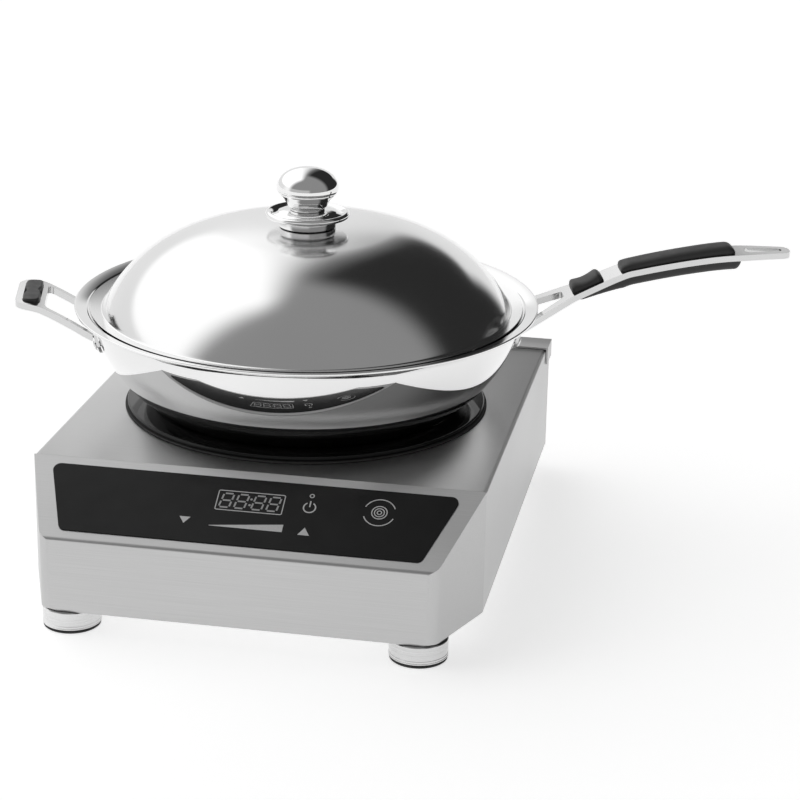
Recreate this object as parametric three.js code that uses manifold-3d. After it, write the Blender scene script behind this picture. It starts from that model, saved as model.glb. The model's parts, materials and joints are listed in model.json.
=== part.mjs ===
// Counter-top induction wok hob with its wok pan and lid, in millimetres, +Z up.
// The model is laid out round the cooking axis, the vertical line through the middle of the glass
// bowl, with the floor at z = 0, the controls facing -Y and the rear cover facing +Y.
// At the end the whole group is shifted so that the origin is at the middle of its footprint.

import * as THREE from "three";
import { mergeVertices } from "three/addons/utils/BufferGeometryUtils.js";
import Module from "manifold-3d";

const wasm = await Module();
wasm.setup();

// ---------------------------------------------------------------- driving dimensions

const GAP = 0.3; // clearance between neighbouring pieces
const SHEET = 1.2; // stainless sheet thickness

const HOB_WIDTH = 340;
const TOP_Z = 114.5; // top of the cover
const UNDERSIDE_Z = 20; // lower edge of the sheet housing
const FRONT_TOP_Y = -164; // where the sloped control face meets the top
const FRONT_DEPTH = 64; // how far the control face reaches forward
const FOLD_Z = 75.5; // where the control face meets the upright front
const FRONT_WIDTH = 290.5; // width at the fold
const REAR_Y = 196;
const FRONT_CORNER_R = 10;

const LIP_FRONT_Y = 171.5; // the rear cover laps over the top from here
const LIP_DROP = 13; // how far the lip hangs down on each side

const BASE_THICKNESS = 1.8;
const BASE_TOP_Z = 18.6;
const BASE_INSET = 3;

const FOOT_R = 21.6;
const FOOT_X = 130;
const FOOT_FRONT_Y = -205.5;
const FOOT_REAR_Y = 150;
const PAD_HEIGHT = 2;

const RIM_R = 141.5; // outer radius of the flat glass rim
const RIM_TOP_Z = 119.3;
const GLASS = 5;
const COVER_HOLE_R = 134;

const WOK_BELLY_R = 168.5; // outer radius at the height where the wall is upright
const WOK_BELLY_Z = 200.3;
const WOK_DEPTH = 116.6; // from that height down to the bottom of the pan
const WOK_WALL = 2.5;
const WOK_RIM_R = 181.3;
const WOK_RIM_Z = 198.3;

const WOK_FLANGE_R = 166.7; // inner edge of the sloping rim
const WOK_FLANGE_DROP = 4.5; // from the rim's outer edge to its inner edge

const LID_CROWN_Z = 257.8;
const LID_CROWN_ARC = 1006; // radius of the nearly flat crown
const LID_CROWN_EDGE = 65.5; // where the crown passes into the shoulder
const LID_SHOULDER_ARC = 114.3;
const LID_BRIM_R = 168.5; // the narrow brim rests on the pan's rim
const LID_WALL = 1.5;

const RIVET_R = 2.2;
const HANDLE_TURN = THREE.MathUtils.degToRad(15); // both handles, about the cooking axis

const SLOPE = Math.atan2(TOP_Z - FOLD_Z, FRONT_DEPTH);
const SLOPE_LENGTH = Math.hypot(TOP_Z - FOLD_Z, FRONT_DEPTH);

// Places on the control face: across it, and down it from its top edge.
const DISPLAY = { x: 1.3, down: 27.8, width: 50, height: 18 };
const KEYS = {
  power: { x: 45.2, down: 27.5 },
  down: { x: -43.3, down: 48.3 },
  up: { x: 45.3, down: 49.5 },
};
const KEY_R = 3;
const KEY_TRAVEL = 0.5;

// ---------------------------------------------------------------- materials

function metal(color, roughness) {
  return new THREE.MeshStandardMaterial({ color, roughness, metalness: 1 });
}
function dull(color, roughness) {
  return new THREE.MeshStandardMaterial({ color, roughness, metalness: 0 });
}
const SATIN_STEEL = metal(0xc4c4c2, 0.35);
const MIRROR_STEEL = metal(0xd8d8d8, 0.06);
const ALUMINIUM = metal(0xb9bcbf, 0.4);
const COPPER = metal(0xb06a3c, 0.35);
const BLACK_GLASS = dull(0x0a0a0b, 0.05);
const FILM = dull(0x151515, 0.2);
const SILICONE = dull(0x1c1c1c, 0.75);
const BLACK_PLASTIC = dull(0x202020, 0.5);
const GREY_PLASTIC = dull(0x8d8f90, 0.5);
const CIRCUIT_BOARD = dull(0x1e5a35, 0.55);
const FERRITE = dull(0x2b2b2e, 0.7);

// ---------------------------------------------------------------- geometry helpers

// A geometry as a manifold solid, with its shared corners merged and flat triangles dropped.
function solidOf(geometry) {
  const bare = new THREE.BufferGeometry();
  bare.setAttribute("position", geometry.getAttribute("position"));
  if (geometry.index) bare.setIndex(geometry.index);
  const merged = mergeVertices(bare, 1e-3);
  const corners = merged.index.array;
  const kept = [];
  for (let i = 0; i < corners.length; i += 3) {
    const [a, b, c] = corners.slice(i, i + 3);
    if (a !== b && b !== c && c !== a) kept.push(a, b, c);
  }
  const vertProperties = merged.attributes.position.array;
  return new wasm.Manifold(
    new wasm.Mesh({ numProp: 3, vertProperties, triVerts: new Uint32Array(kept) }),
  );
}

function geometryOf(solid) {
  const mesh = solid.getMesh();
  const geometry = new THREE.BufferGeometry();
  geometry.setAttribute("position", new THREE.Float32BufferAttribute(mesh.vertProperties, 3));
  geometry.setIndex(new THREE.Uint32BufferAttribute(mesh.triVerts, 1));
  geometry.computeVertexNormals();
  return geometry;
}

function cut(base, ...tools) {
  return geometryOf(tools.reduce((solid, tool) => solid.subtract(solidOf(tool)), solidOf(base)));
}

function join(base, ...others) {
  return geometryOf(others.reduce((solid, other) => solid.add(solidOf(other)), solidOf(base)));
}

function common(first, second) {
  return geometryOf(solidOf(first).intersect(solidOf(second)));
}

// A polygon whose corners are [x, y, radius]; the radius may be left out.
function roundedPolygon(corners) {
  const shape = new THREE.Shape();
  corners.forEach(([x, y, radius = 0], i) => {
    const corner = new THREE.Vector2(x, y);
    const begin = i === 0 ? "moveTo" : "lineTo";
    if (radius === 0) {
      shape[begin](x, y);
      return;
    }
    const [beforeX, beforeY] = corners.at(i - 1);
    const [afterX, afterY] = corners[(i + 1) % corners.length];
    const before = new THREE.Vector2(beforeX, beforeY).sub(corner).normalize();
    const after = new THREE.Vector2(afterX, afterY).sub(corner).normalize();
    const half = before.angleTo(after) / 2;
    const start = before.clone().multiplyScalar(radius / Math.tan(half)).add(corner);
    const end = after.clone().multiplyScalar(radius / Math.tan(half)).add(corner);
    const centre = before.clone().add(after).setLength(radius / Math.sin(half)).add(corner);
    const clockwise = before.cross(after) > 0;
    const from = start.sub(centre).angle();
    const to = end.sub(centre).angle();
    shape[begin](centre.x + radius * Math.cos(from), centre.y + radius * Math.sin(from));
    shape.absarc(centre.x, centre.y, radius, from, to, clockwise);
  });
  return shape;
}

function rectangle(width, height, radius = 0, x = 0, y = 0) {
  const [w, h] = [width / 2, height / 2];
  return roundedPolygon([
    [x - w, y - h, radius],
    [x + w, y - h, radius],
    [x + w, y + h, radius],
    [x - w, y + h, radius],
  ]);
}

// A plate standing on z = from and reaching up to z = to.
function plate(shape, from, to, curveSegments = 5) {
  const options = { depth: to - from, bevelEnabled: false, curveSegments };
  return new THREE.ExtrudeGeometry(shape, options).translate(0, 0, from);
}

// A side view drawn as (y, z), extruded along X from x = from to x = to.
function extrudeAcross(shape, from, to, curveSegments = 5) {
  const turned = new THREE.Matrix4().makeBasis(
    new THREE.Vector3(0, 1, 0),
    new THREE.Vector3(0, 0, 1),
    new THREE.Vector3(1, 0, 0),
  );
  return plate(shape, from, to, curveSegments).applyMatrix4(turned);
}

// A front view drawn as (x, z), extruded along Y from y = from to y = to.
function extrudeBack(shape, from, to, curveSegments = 5) {
  return plate(shape, -to, -from, curveSegments).rotateX(Math.PI / 2);
}

function box(width, depth, height, x, y, bottomZ) {
  return new THREE.BoxGeometry(width, depth, height).translate(x, y, bottomZ + height / 2);
}

function cylinder(radius, from, to, x = 0, y = 0, segments = 20) {
  const upright = new THREE.CylinderGeometry(radius, radius, to - from, segments);
  return upright.rotateX(Math.PI / 2).translate(x, y, (from + to) / 2);
}

// A solid of revolution about Z from [radius, z] points that run up the outside of the section.
function revolve(profile, segments = 36) {
  const points = profile.map(([radius, z]) => new THREE.Vector2(radius, z));
  return new THREE.LatheGeometry(points, segments).rotateX(Math.PI / 2);
}

// Points [radius, z] on an ellipse about the cooking axis, from one height to another.
function ellipsePoints(belly, centreZ, depth, fromZ, toZ, count) {
  const from = Math.asin((fromZ - centreZ) / depth);
  const to = Math.asin((toZ - centreZ) / depth);
  return Array.from({ length: count + 1 }, (_, i) => {
    const angle = from + ((to - from) * i) / count;
    return [belly * Math.cos(angle), centreZ + depth * Math.sin(angle)];
  });
}

// Points [radius, z] on a circle, from one angle above the horizontal to another.
function arcPoints(centreR, centreZ, radius, fromAngle, toAngle, count) {
  return Array.from({ length: count + 1 }, (_, i) => {
    const angle = fromAngle + ((toAngle - fromAngle) * i) / count;
    return [centreR + radius * Math.cos(angle), centreZ + radius * Math.sin(angle)];
  });
}

function named(name, geometry, material) {
  const mesh = new THREE.Mesh(geometry, material);
  mesh.name = name;
  return mesh;
}

// ---------------------------------------------------------------- sheet housing

// The front housing's block, shrunk on every side by `inset`: its side view crossed with its plan.
function frontBlock(inset, backY, bottomZ) {
  const foldY = FRONT_TOP_Y - FRONT_DEPTH + inset;
  const slopeShift = inset / Math.cos(SLOPE);
  const foldZ = FOLD_Z - slopeShift + inset * Math.tan(SLOPE);
  const topZ = TOP_Z - slopeShift;
  const sideView = roundedPolygon([
    [backY, bottomZ],
    [backY, topZ],
    [FRONT_TOP_Y, topZ],
    [foldY, foldZ, 3 - inset],
    [foldY, bottomZ],
  ]);
  const chamfer = Math.atan2(HOB_WIDTH / 2 - FRONT_WIDTH / 2, FRONT_DEPTH);
  const half = HOB_WIDTH / 2 - inset / Math.cos(chamfer);
  const frontHalf = half - (FRONT_TOP_Y - foldY) * Math.tan(chamfer);
  const plan = roundedPolygon([
    [-half, backY],
    [-half, FRONT_TOP_Y],
    [-frontHalf, foldY, FRONT_CORNER_R - inset],
    [frontHalf, foldY, FRONT_CORNER_R - inset],
    [half, FRONT_TOP_Y],
    [half, backY],
  ]);
  const across = extrudeAcross(sideView, -HOB_WIDTH / 2 - 1, HOB_WIDTH / 2 + 1);
  return common(across, plate(plan, bottomZ - 1, TOP_Z + 1, 6));
}

// The sloped face's own frame: x across, y up the slope from its top edge, z out of the face.
function onSlope(geometry) {
  return geometry.rotateX(SLOPE).translate(0, FRONT_TOP_Y, TOP_Z);
}

function makeFrontPanel() {
  const outer = frontBlock(0, FRONT_TOP_Y, UNDERSIDE_Z);
  const inner = frontBlock(SHEET, FRONT_TOP_Y + 1, UNDERSIDE_Z - 1);
  const windowShape = rectangle(DISPLAY.width + 2, DISPLAY.height + 2, 1.5, DISPLAY.x, -DISPLAY.down);
  const openings = [onSlope(plate(windowShape, -3, 2, 3))];
  for (const { x, down } of Object.values(KEYS)) {
    openings.push(onSlope(cylinder(KEY_R + 1, -3, 2, x, -down)));
  }
  const studs = [-88, 108].flatMap((x) =>
    [18, 58].map((down) => onSlope(cylinder(2.5, -SHEET - 7.5, -SHEET / 2, x, -down, 8))),
  );
  return join(cut(outer, inner, ...openings), ...studs);
}

function makeTopCover() {
  const bend = 3;
  const section = (inset) =>
    roundedPolygon([
      [-HOB_WIDTH / 2 + inset, UNDERSIDE_Z - (inset ? 1 : 0)],
      [HOB_WIDTH / 2 - inset, UNDERSIDE_Z - (inset ? 1 : 0)],
      [HOB_WIDTH / 2 - inset, TOP_Z - inset, bend - inset],
      [-HOB_WIDTH / 2 + inset, TOP_Z - inset, bend - inset],
    ]);
  const outer = extrudeBack(section(0), FRONT_TOP_Y + GAP, REAR_Y, 4);
  const inner = extrudeBack(section(SHEET), FRONT_TOP_Y - 1, REAR_Y + 1, 4);
  return cut(outer, inner, cylinder(COVER_HOLE_R, TOP_Z - 5, TOP_Z + 5, 0, 0, 48));
}

const FAN = { x: -95, y: 95, size: 92, height: 25 };

function makeBasePlate() {
  const inset = SHEET + BASE_INSET;
  const half = HOB_WIDTH / 2 - inset;
  const frontHalf = FRONT_WIDTH / 2 - inset;
  const frontY = FRONT_TOP_Y - FRONT_DEPTH + inset;
  const outline = roundedPolygon([
    [-frontHalf, frontY, FRONT_CORNER_R],
    [frontHalf, frontY, FRONT_CORNER_R],
    [half, FRONT_TOP_Y],
    [half, REAR_Y - inset, 4],
    [-half, REAR_Y - inset, 4],
    [-half, FRONT_TOP_Y],
  ]);
  const bottom = BASE_TOP_Z - BASE_THICKNESS;
  const slotPitch = 8;
  const intakeSlots = [-4, -3, -2, -1, 0, 1, 2, 3, 4].map((row) => {
    const length = 2 * Math.sqrt(40 ** 2 - (row * slotPitch) ** 2);
    return box(length, 3.6, 4, FAN.x, FAN.y + row * slotPitch, bottom - 1);
  });
  const posts = POWER_BOARD.posts.map(([x, y]) =>
    cylinder(3, BASE_TOP_Z - 1, POWER_BOARD.z - GAP, x, y, 10),
  );
  return join(cut(plate(outline, bottom, BASE_TOP_Z, 3), ...intakeSlots), ...posts);
}

const GLAND = { x: 112, z: 50, hole: 8.3 };

function makeRearCover() {
  const thickness = 1.5;
  const sideX = HOB_WIDTH / 2 + GAP;
  const lipZ = TOP_Z + GAP;
  const panelFront = REAR_Y + GAP;
  const height = lipZ + thickness - UNDERSIDE_Z;
  const panelMiddleY = panelFront + thickness / 2;
  const panel = box(HOB_WIDTH, thickness, height, 0, panelMiddleY, UNDERSIDE_Z);
  const louvreCount = 22;
  const louvrePitch = 9;
  const louvres = Array.from({ length: louvreCount }, (_, i) =>
    box(3.6, 4, 46, -145 + i * louvrePitch, panelMiddleY, 43),
  );
  const capOuter = rectangle(
    2 * (sideX + thickness), LIP_DROP + thickness, 0, 0, lipZ + thickness - (LIP_DROP + thickness) / 2,
  );
  const capInner = rectangle(2 * sideX, LIP_DROP + 4, 0, 0, lipZ - (LIP_DROP + 4) / 2);
  const cap = cut(
    extrudeBack(capOuter, LIP_FRONT_Y, panelFront + thickness),
    extrudeBack(capInner, LIP_FRONT_Y - 1, panelFront),
  );
  const glandHole = cylinder(GLAND.hole, -10, 10, 0, 0, 20)
    .rotateX(Math.PI / 2)
    .translate(GLAND.x, panelFront, GLAND.z);
  return cut(join(panel, cap), glandHole, ...louvres);
}

// ---------------------------------------------------------------- feet

// A turned foot standing on its rubber pad.
function makeFoot() {
  const top = BASE_TOP_Z - BASE_THICKNESS - GAP;
  return revolve(
    [
      [0, PAD_HEIGHT + GAP],
      [FOOT_R - 0.6, PAD_HEIGHT + GAP],
      [FOOT_R, PAD_HEIGHT + GAP + 0.6],
      [FOOT_R, top],
      [0, top],
    ],
    24,
  );
}

function makeFootPad() {
  return revolve(
    [
      [0, 0],
      [FOOT_R - 1, 0],
      [FOOT_R - 0.4, 0.6],
      [FOOT_R - 0.4, PAD_HEIGHT],
      [0, PAD_HEIGHT],
    ],
    24,
  );
}

// ---------------------------------------------------------------- bowl, coil and sensor

const BOWL_CLEARANCE = 0.5; // under the resting pan; it widens towards the rim
const BOWL_BELLY_R = WOK_BELLY_R + 1.5;
const BOWL_DEPTH = WOK_DEPTH + BOWL_CLEARANCE;

// Radius of the bowl's outer surface grown by `offset`, used by what hangs under it.
function underBowl(offset, fromR, toR, count) {
  const belly = BOWL_BELLY_R + GLASS + offset;
  const depth = BOWL_DEPTH + GLASS + offset;
  const heightAt = (radius) => WOK_BELLY_Z - depth * Math.sqrt(1 - (radius / belly) ** 2);
  return Array.from({ length: count + 1 }, (_, i) => {
    const radius = fromR + ((toR - fromR) * i) / count;
    return [radius, heightAt(radius)];
  });
}

function makeGlassBowl() {
  const sealTop = TOP_Z + GAP + 1.2 + GAP;
  const throatZ = RIM_TOP_Z - 1.5;
  const inner = ellipsePoints(
    BOWL_BELLY_R, WOK_BELLY_Z, BOWL_DEPTH, WOK_BELLY_Z - BOWL_DEPTH, throatZ, 8,
  );
  const outer = underBowl(0, 0, COVER_HOLE_R - 8, 7);
  const throatR = inner.at(-1)[0];
  return revolve([
    ...outer,
    [COVER_HOLE_R - 3, sealTop],
    [RIM_R - 1, sealTop],
    [RIM_R, sealTop + 0.8],
    [RIM_R, RIM_TOP_Z - 1],
    [RIM_R - 1.2, RIM_TOP_Z],
    [throatR + 3, RIM_TOP_Z],
    ...inner.reverse(),
  ]);
}

function makeBowlSeal() {
  const [inside, outside] = [COVER_HOLE_R + 1, RIM_R + 1.8];
  const bottom = TOP_Z + GAP;
  const top = bottom + 1.2;
  return revolve([
    [inside, bottom],
    [outside, bottom],
    [outside - 0.5, top],
    [inside, top],
    [inside, bottom],
  ]);
}

// The coil is one flat-wound litz cable, seen as rings that follow the bowl.
function makeCoilWinding() {
  const turns = 8;
  const [innerR, outerR] = [32, 112];
  const valleyDepth = 1.2;
  const upper = underBowl(2, innerR, outerR, turns * 2).map(([radius, z], i) =>
    i % 2 ? [radius, z] : [radius, z - valleyDepth],
  );
  const lower = underBowl(6, innerR, outerR, 5);
  return revolve([...lower, ...upper.reverse(), lower[0]], 28);
}

const CARRIER_LEG_R = 104;

function makeCoilCarrier() {
  const [innerR, outerR] = [14, 122];
  const top = underBowl(7.5, innerR, outerR, 5);
  const bottom = underBowl(10, innerR, outerR, 5);
  const shell = revolve([...bottom, ...top.reverse(), bottom[0]], 28);
  const legs = [30, 105, 180, 250].map((degrees) => {
    const angle = THREE.MathUtils.degToRad(degrees);
    const [x, y] = [CARRIER_LEG_R * Math.cos(angle), CARRIER_LEG_R * Math.sin(angle)];
    const surfaceZ = underBowl(9, CARRIER_LEG_R, CARRIER_LEG_R, 1)[0][1];
    return cylinder(4, BASE_TOP_Z + GAP, surfaceZ, x, y, 12);
  });
  return join(shell, ...legs);
}

// Ferrite bars lie radially against the carrier's underside.
function makeFerriteBar() {
  const [middleR, length] = [72, 50];
  const [[, lowZ], [, highZ]] = underBowl(13.5, middleR - length / 2, middleR + length / 2, 1);
  const tilt = Math.atan2(highZ - lowZ, length);
  const bar = new THREE.BoxGeometry(length, 12, 5).rotateY(-tilt);
  return bar.translate(middleR, 0, (lowZ + highZ) / 2 - 1.5);
}

function makeTemperatureSensor() {
  const glassBottom = WOK_BELLY_Z - BOWL_DEPTH - GLASS;
  return revolve(
    [
      [0, glassBottom - 16],
      [3, glassBottom - 16],
      [3, glassBottom - 6],
      [7, glassBottom - 4],
      [7, glassBottom - GAP],
      [0, glassBottom - GAP],
    ],
    20,
  );
}

// ---------------------------------------------------------------- controls

const FILM_THICKNESS = 0.6;
const BOARD_DEPTH = 9; // the control board's face below the sloped face's outside

function makeControlFilm() {
  const [top, bottom] = [-7.2, -66.6];
  const [topHalf, bottomHalf] = [153.8, 132.9];
  const corner = 5.5;
  const outline = roundedPolygon([
    [-bottomHalf, bottom, corner],
    [bottomHalf, bottom, corner],
    [topHalf, top, corner],
    [-topHalf, top, corner],
  ]);
  return onSlope(plate(outline, GAP, GAP + FILM_THICKNESS, 5));
}

function makeDisplayModule() {
  const shape = rectangle(DISPLAY.width, DISPLAY.height, 0, DISPLAY.x, -DISPLAY.down);
  return onSlope(plate(shape, -BOARD_DEPTH + GAP, -GAP));
}

// A key's plunger and the switch body under it, both square to the sloped face.
function makeKey({ x, down }) {
  const cap = cylinder(KEY_R, -3.2, 0, x, -down, 16);
  const stem = cylinder(KEY_R / 2, -4.2, -3, x, -down, 16);
  return onSlope(join(cap, stem));
}

function makeSwitchBody({ x, down }) {
  const top = -4.2 - KEY_TRAVEL - GAP;
  return onSlope(plate(rectangle(7, 7, 0, x, -down), -BOARD_DEPTH + GAP, top));
}

function makeControlBoard() {
  return onSlope(plate(rectangle(216, 52, 0, 10, -38), -BOARD_DEPTH - 1.6, -BOARD_DEPTH));
}

// ---------------------------------------------------------------- power electronics

const POWER_BOARD = {
  x: 62,
  y: -62,
  width: 170,
  depth: 150,
  z: 26,
  posts: [
    [-15, -128],
    [139, -128],
    [-15, 4],
    [139, 4],
  ],
};
const ON_BOARD_Z = POWER_BOARD.z + 1.6 + GAP;

function makePowerBoard() {
  const { x, y, width, depth, z } = POWER_BOARD;
  return plate(rectangle(width, depth, 0, x, y), z, z + 1.6);
}

const HEATSINK = { x: 124, y: -62, length: 120, height: 30 };

function makeHeatsink() {
  const [finCount, finPitch, finWidth, foot] = [6, 7, 2, 5];
  const width = (finCount - 1) * finPitch + finWidth;
  const corners = [
    [width, 0],
    [0, 0],
  ];
  for (let i = 0; i < finCount; i += 1) {
    const left = i * finPitch;
    corners.push([left, HEATSINK.height], [left + finWidth, HEATSINK.height]);
    if (i < finCount - 1) corners.push([left + finWidth, foot], [left + finPitch, foot]);
  }
  const fins = roundedPolygon(corners.reverse());
  const length = HEATSINK.length / 2;
  return extrudeBack(fins, -length, length).translate(HEATSINK.x - width / 2, HEATSINK.y, ON_BOARD_Z);
}

// A flat power package standing on its edge with three legs.
function makePackage(width, height) {
  const body = box(width, 5, height, 0, 0, 4);
  const legs = [-1, 0, 1].map((side) => box(1.2, 0.8, 4.5, side * width * 0.3, 0, 0));
  return join(body, ...legs);
}

function makeCapacitor() {
  return plate(rectangle(38, 18), 0, 26);
}

function makeFilterChoke() {
  return new THREE.TorusGeometry(14, 6, 7, 14).translate(0, 0, 6);
}

const FAN_SHAFT_R = 1.6;

function makeFanFrame() {
  const { size, height } = FAN;
  const outline = rectangle(size, size, 4);
  const throat = new THREE.Path().absarc(0, 0, size / 2 - 3, 0, 2 * Math.PI, true);
  outline.holes.push(throat);
  const ring = plate(outline, 0, height, 10);
  const hub = cylinder(17, 0, 2.5, 0, 0, 24);
  const arms = [0, 1, 2, 3].map((i) =>
    box(size / 2, 5, 2.5, size / 4, 0, 0).rotateZ((i * Math.PI) / 2 + Math.PI / 4),
  );
  return cut(join(ring, hub, ...arms), cylinder(FAN_SHAFT_R + GAP, -1, 5, 0, 0, 12));
}

function makeFanRotor() {
  const hub = join(cylinder(16, 4, 22, 0, 0, 24), cylinder(FAN_SHAFT_R, 0.5, 5, 0, 0, 12));
  const bladeCount = 7;
  const blades = Array.from({ length: bladeCount }, (_, i) =>
    box(28, 17, 1.6, 0, 0, -0.8)
      .rotateX(THREE.MathUtils.degToRad(38))
      .translate(27.5, 0, 13)
      .rotateZ((2 * Math.PI * i) / bladeCount),
  );
  return join(hub, ...blades);
}

function makeTerminalBlock() {
  const body = box(44, 22, 16, 0, 0, 0);
  const wireHoles = [-14, 0, 14].map((x) =>
    cylinder(3, -12, 12, 0, 0, 10).rotateX(Math.PI / 2).translate(x, 0, 6),
  );
  const screwHoles = [-14, 0, 14].map((x) => cylinder(2.6, 11, 17, x, 0, 10));
  return cut(body, ...wireHoles, ...screwHoles);
}

// The inlet gland: a flange inside the panel, a threaded neck and a hexagon nut outside, bored through.
function makeCableGland() {
  const bore = 4.5;
  const neck = GLAND.hole - GAP;
  const inside = REAR_Y + GAP - GAP;
  const outside = REAR_Y + GAP + 1.5 + GAP;
  const flange = cylinder(11, inside - 4, inside, 0, 0, 24);
  const body = cylinder(neck, inside - 1, outside + 1, 0, 0, 24);
  const nut = cylinder(12, outside, outside + 6, 0, 0, 6);
  const dome = cylinder(8.6, outside + 5.5, outside + 14, 0, 0, 24);
  const solid = cut(join(flange, body, nut, dome), cylinder(bore, inside - 9, outside + 19, 0, 0, 16));
  return solid.rotateX(-Math.PI / 2).translate(GLAND.x, 0, GLAND.z);
}

// ---------------------------------------------------------------- wok pan and its handles

function wokWallRadius(z) {
  return WOK_BELLY_R * Math.sqrt(1 - ((z - WOK_BELLY_Z) / WOK_DEPTH) ** 2);
}

function makeWokPan() {
  const flangeInnerZ = WOK_RIM_Z - WOK_FLANGE_DROP;
  const underFlangeZ = flangeInnerZ - 1.6;
  const bottomZ = WOK_BELLY_Z - WOK_DEPTH;
  const outer = ellipsePoints(WOK_BELLY_R, WOK_BELLY_Z, WOK_DEPTH, bottomZ, underFlangeZ, 10);
  const inner = ellipsePoints(
    WOK_BELLY_R - WOK_WALL, WOK_BELLY_Z, WOK_DEPTH - WOK_WALL, bottomZ + WOK_WALL, flangeInnerZ - 1.2, 10,
  );
  const pan = revolve([
    ...outer,
    [WOK_RIM_R, WOK_RIM_Z - WOK_WALL],
    [WOK_RIM_R + 0.4, WOK_RIM_Z - WOK_WALL / 2],
    [WOK_RIM_R, WOK_RIM_Z],
    [WOK_FLANGE_R, flangeInnerZ],
    ...inner.reverse(),
  ]);
  const longHandleHoles = [ROOT_SPREAD, -ROOT_SPREAD].map(rivetHole);
  const helperHoles = [HELPER_SPREAD, -HELPER_SPREAD].map((spread) =>
    rivetHole(spread).rotateZ(Math.PI),
  );
  return cut(pan, ...longHandleHoles, ...helperHoles);
}

// A curved band: a side view of the given thickness along a line of [radius, z] points.
function bandAlong(line, thickness, halfWidth) {
  const curve = new THREE.SplineCurve(line.map(([radius, z]) => new THREE.Vector2(radius, z)));
  return extrudeBack(thicken(curve, thickness / 2, -thickness / 2), -halfWidth, halfWidth);
}

// The area between two offsets of a curve, as a shape.
function thicken(curve, upper, lower, from = 0, to = 1, steps = 14) {
  const upperOffset = typeof upper === "function" ? upper : () => upper;
  const lowerOffset = typeof lower === "function" ? lower : () => lower;
  const edge = (offset) =>
    Array.from({ length: steps + 1 }, (_, i) => {
      const share = i / steps;
      const at = from + (to - from) * share;
      const tangent = curve.getTangent(at);
      const normal = new THREE.Vector2(-tangent.y, tangent.x);
      return curve.getPoint(at).addScaledVector(normal, offset(share));
    });
  return new THREE.Shape([...edge(lowerOffset), ...edge(upperOffset).reverse()]);
}

// The long handle's line, from its root under the rim to its tip, in the plane of the handle.
const HANDLE_LINE = [
  [164, 180],
  [181, 188.5],
  [210, 202.5],
  [245, 218.5],
  [262, 223.3],
  [300, 230.2],
  [335, 234.2],
  [382, 234.8],
];
const HANDLE_CURVE = new THREE.SplineCurve(HANDLE_LINE.map(([r, z]) => new THREE.Vector2(r, z)));
const HANDLE_THICKNESS = 4.8;
const HANDLE_HALF_WIDTH = 14.5;
const ROOT_SPREAD = 29; // each arm's distance from the handle's centre line at the pan

const HELPER_LINE = [
  [163, 176.5],
  [172, 181.5],
  [184, 189],
  [203, 199.5],
  [214, 202.8],
  [225, 203.5],
];
const HELPER_THICKNESS = 5;
const HELPER_SPREAD = 31;

// The share of the handle's curve at which it reaches a radius.
function shareAt(radius) {
  let [low, high] = [0, 1];
  for (let i = 0; i < 24; i += 1) {
    const middle = (low + high) / 2;
    if (HANDLE_CURVE.getPoint(middle).x < radius) low = middle;
    else high = middle;
  }
  return low;
}

// Puts a piece drawn at the origin, with +X out of the pan, where a fixing tab lies on the pan's
// wall, `spread` to the side of the handle's line.
const TAB = { width: 15, height: 25, thickness: 2.4, topZ: 190.5, gap: 0.8, rivetDrop: 5.5 };

function onWokWall(geometry, spread) {
  const middleZ = TAB.topZ - TAB.height / 2;
  const wallR = wokWallRadius(middleZ);
  const rise = wokWallRadius(TAB.topZ) - wokWallRadius(TAB.topZ - TAB.height);
  const lean = Math.atan2(rise, TAB.height);
  return geometry.rotateY(lean).translate(wallR, 0, middleZ).rotateZ(Math.asin(spread / wallR));
}

function rivetHole(spread) {
  const hole = cylinder(RIVET_R + GAP, -8, 8, 0, 0, 12).rotateY(Math.PI / 2);
  return onWokWall(hole.translate(0, 0, -TAB.rivetDrop), spread);
}

// A fixing tab with a round lower end that lies on the pan's wall below the rim.
function fixingTab(spread) {
  const { width, height, thickness, gap } = TAB;
  const [side, end, round] = [width / 2, height / 2, width / 2 - 0.2];
  const outline = roundedPolygon([
    [-side, -end, round],
    [side, -end, round],
    [side, end],
    [-side, end],
  ]);
  const tab = extrudeAcross(outline, gap, gap + thickness, 3);
  return cut(onWokWall(tab, spread), rivetHole(spread));
}

// A rivet through the pan's wall and a fixing tab, with a low head on each side.
function makeRivet(spread) {
  const [headR, edgeR] = [4, 2.8];
  const insideFace = -WOK_WALL - 1.5;
  const outsideFace = TAB.gap + TAB.thickness + GAP;
  const rivet = revolve(
    [
      [0, insideFace - 1.4],
      [edgeR, insideFace - 1.4],
      [headR, insideFace],
      [RIVET_R, insideFace],
      [RIVET_R, outsideFace],
      [headR, outsideFace],
      [edgeR, outsideFace + 1.6],
      [0, outsideFace + 1.6],
    ],
    12,
  );
  return onWokWall(rivet.rotateY(Math.PI / 2).translate(0, 0, -TAB.rivetDrop), spread);
}

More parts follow.
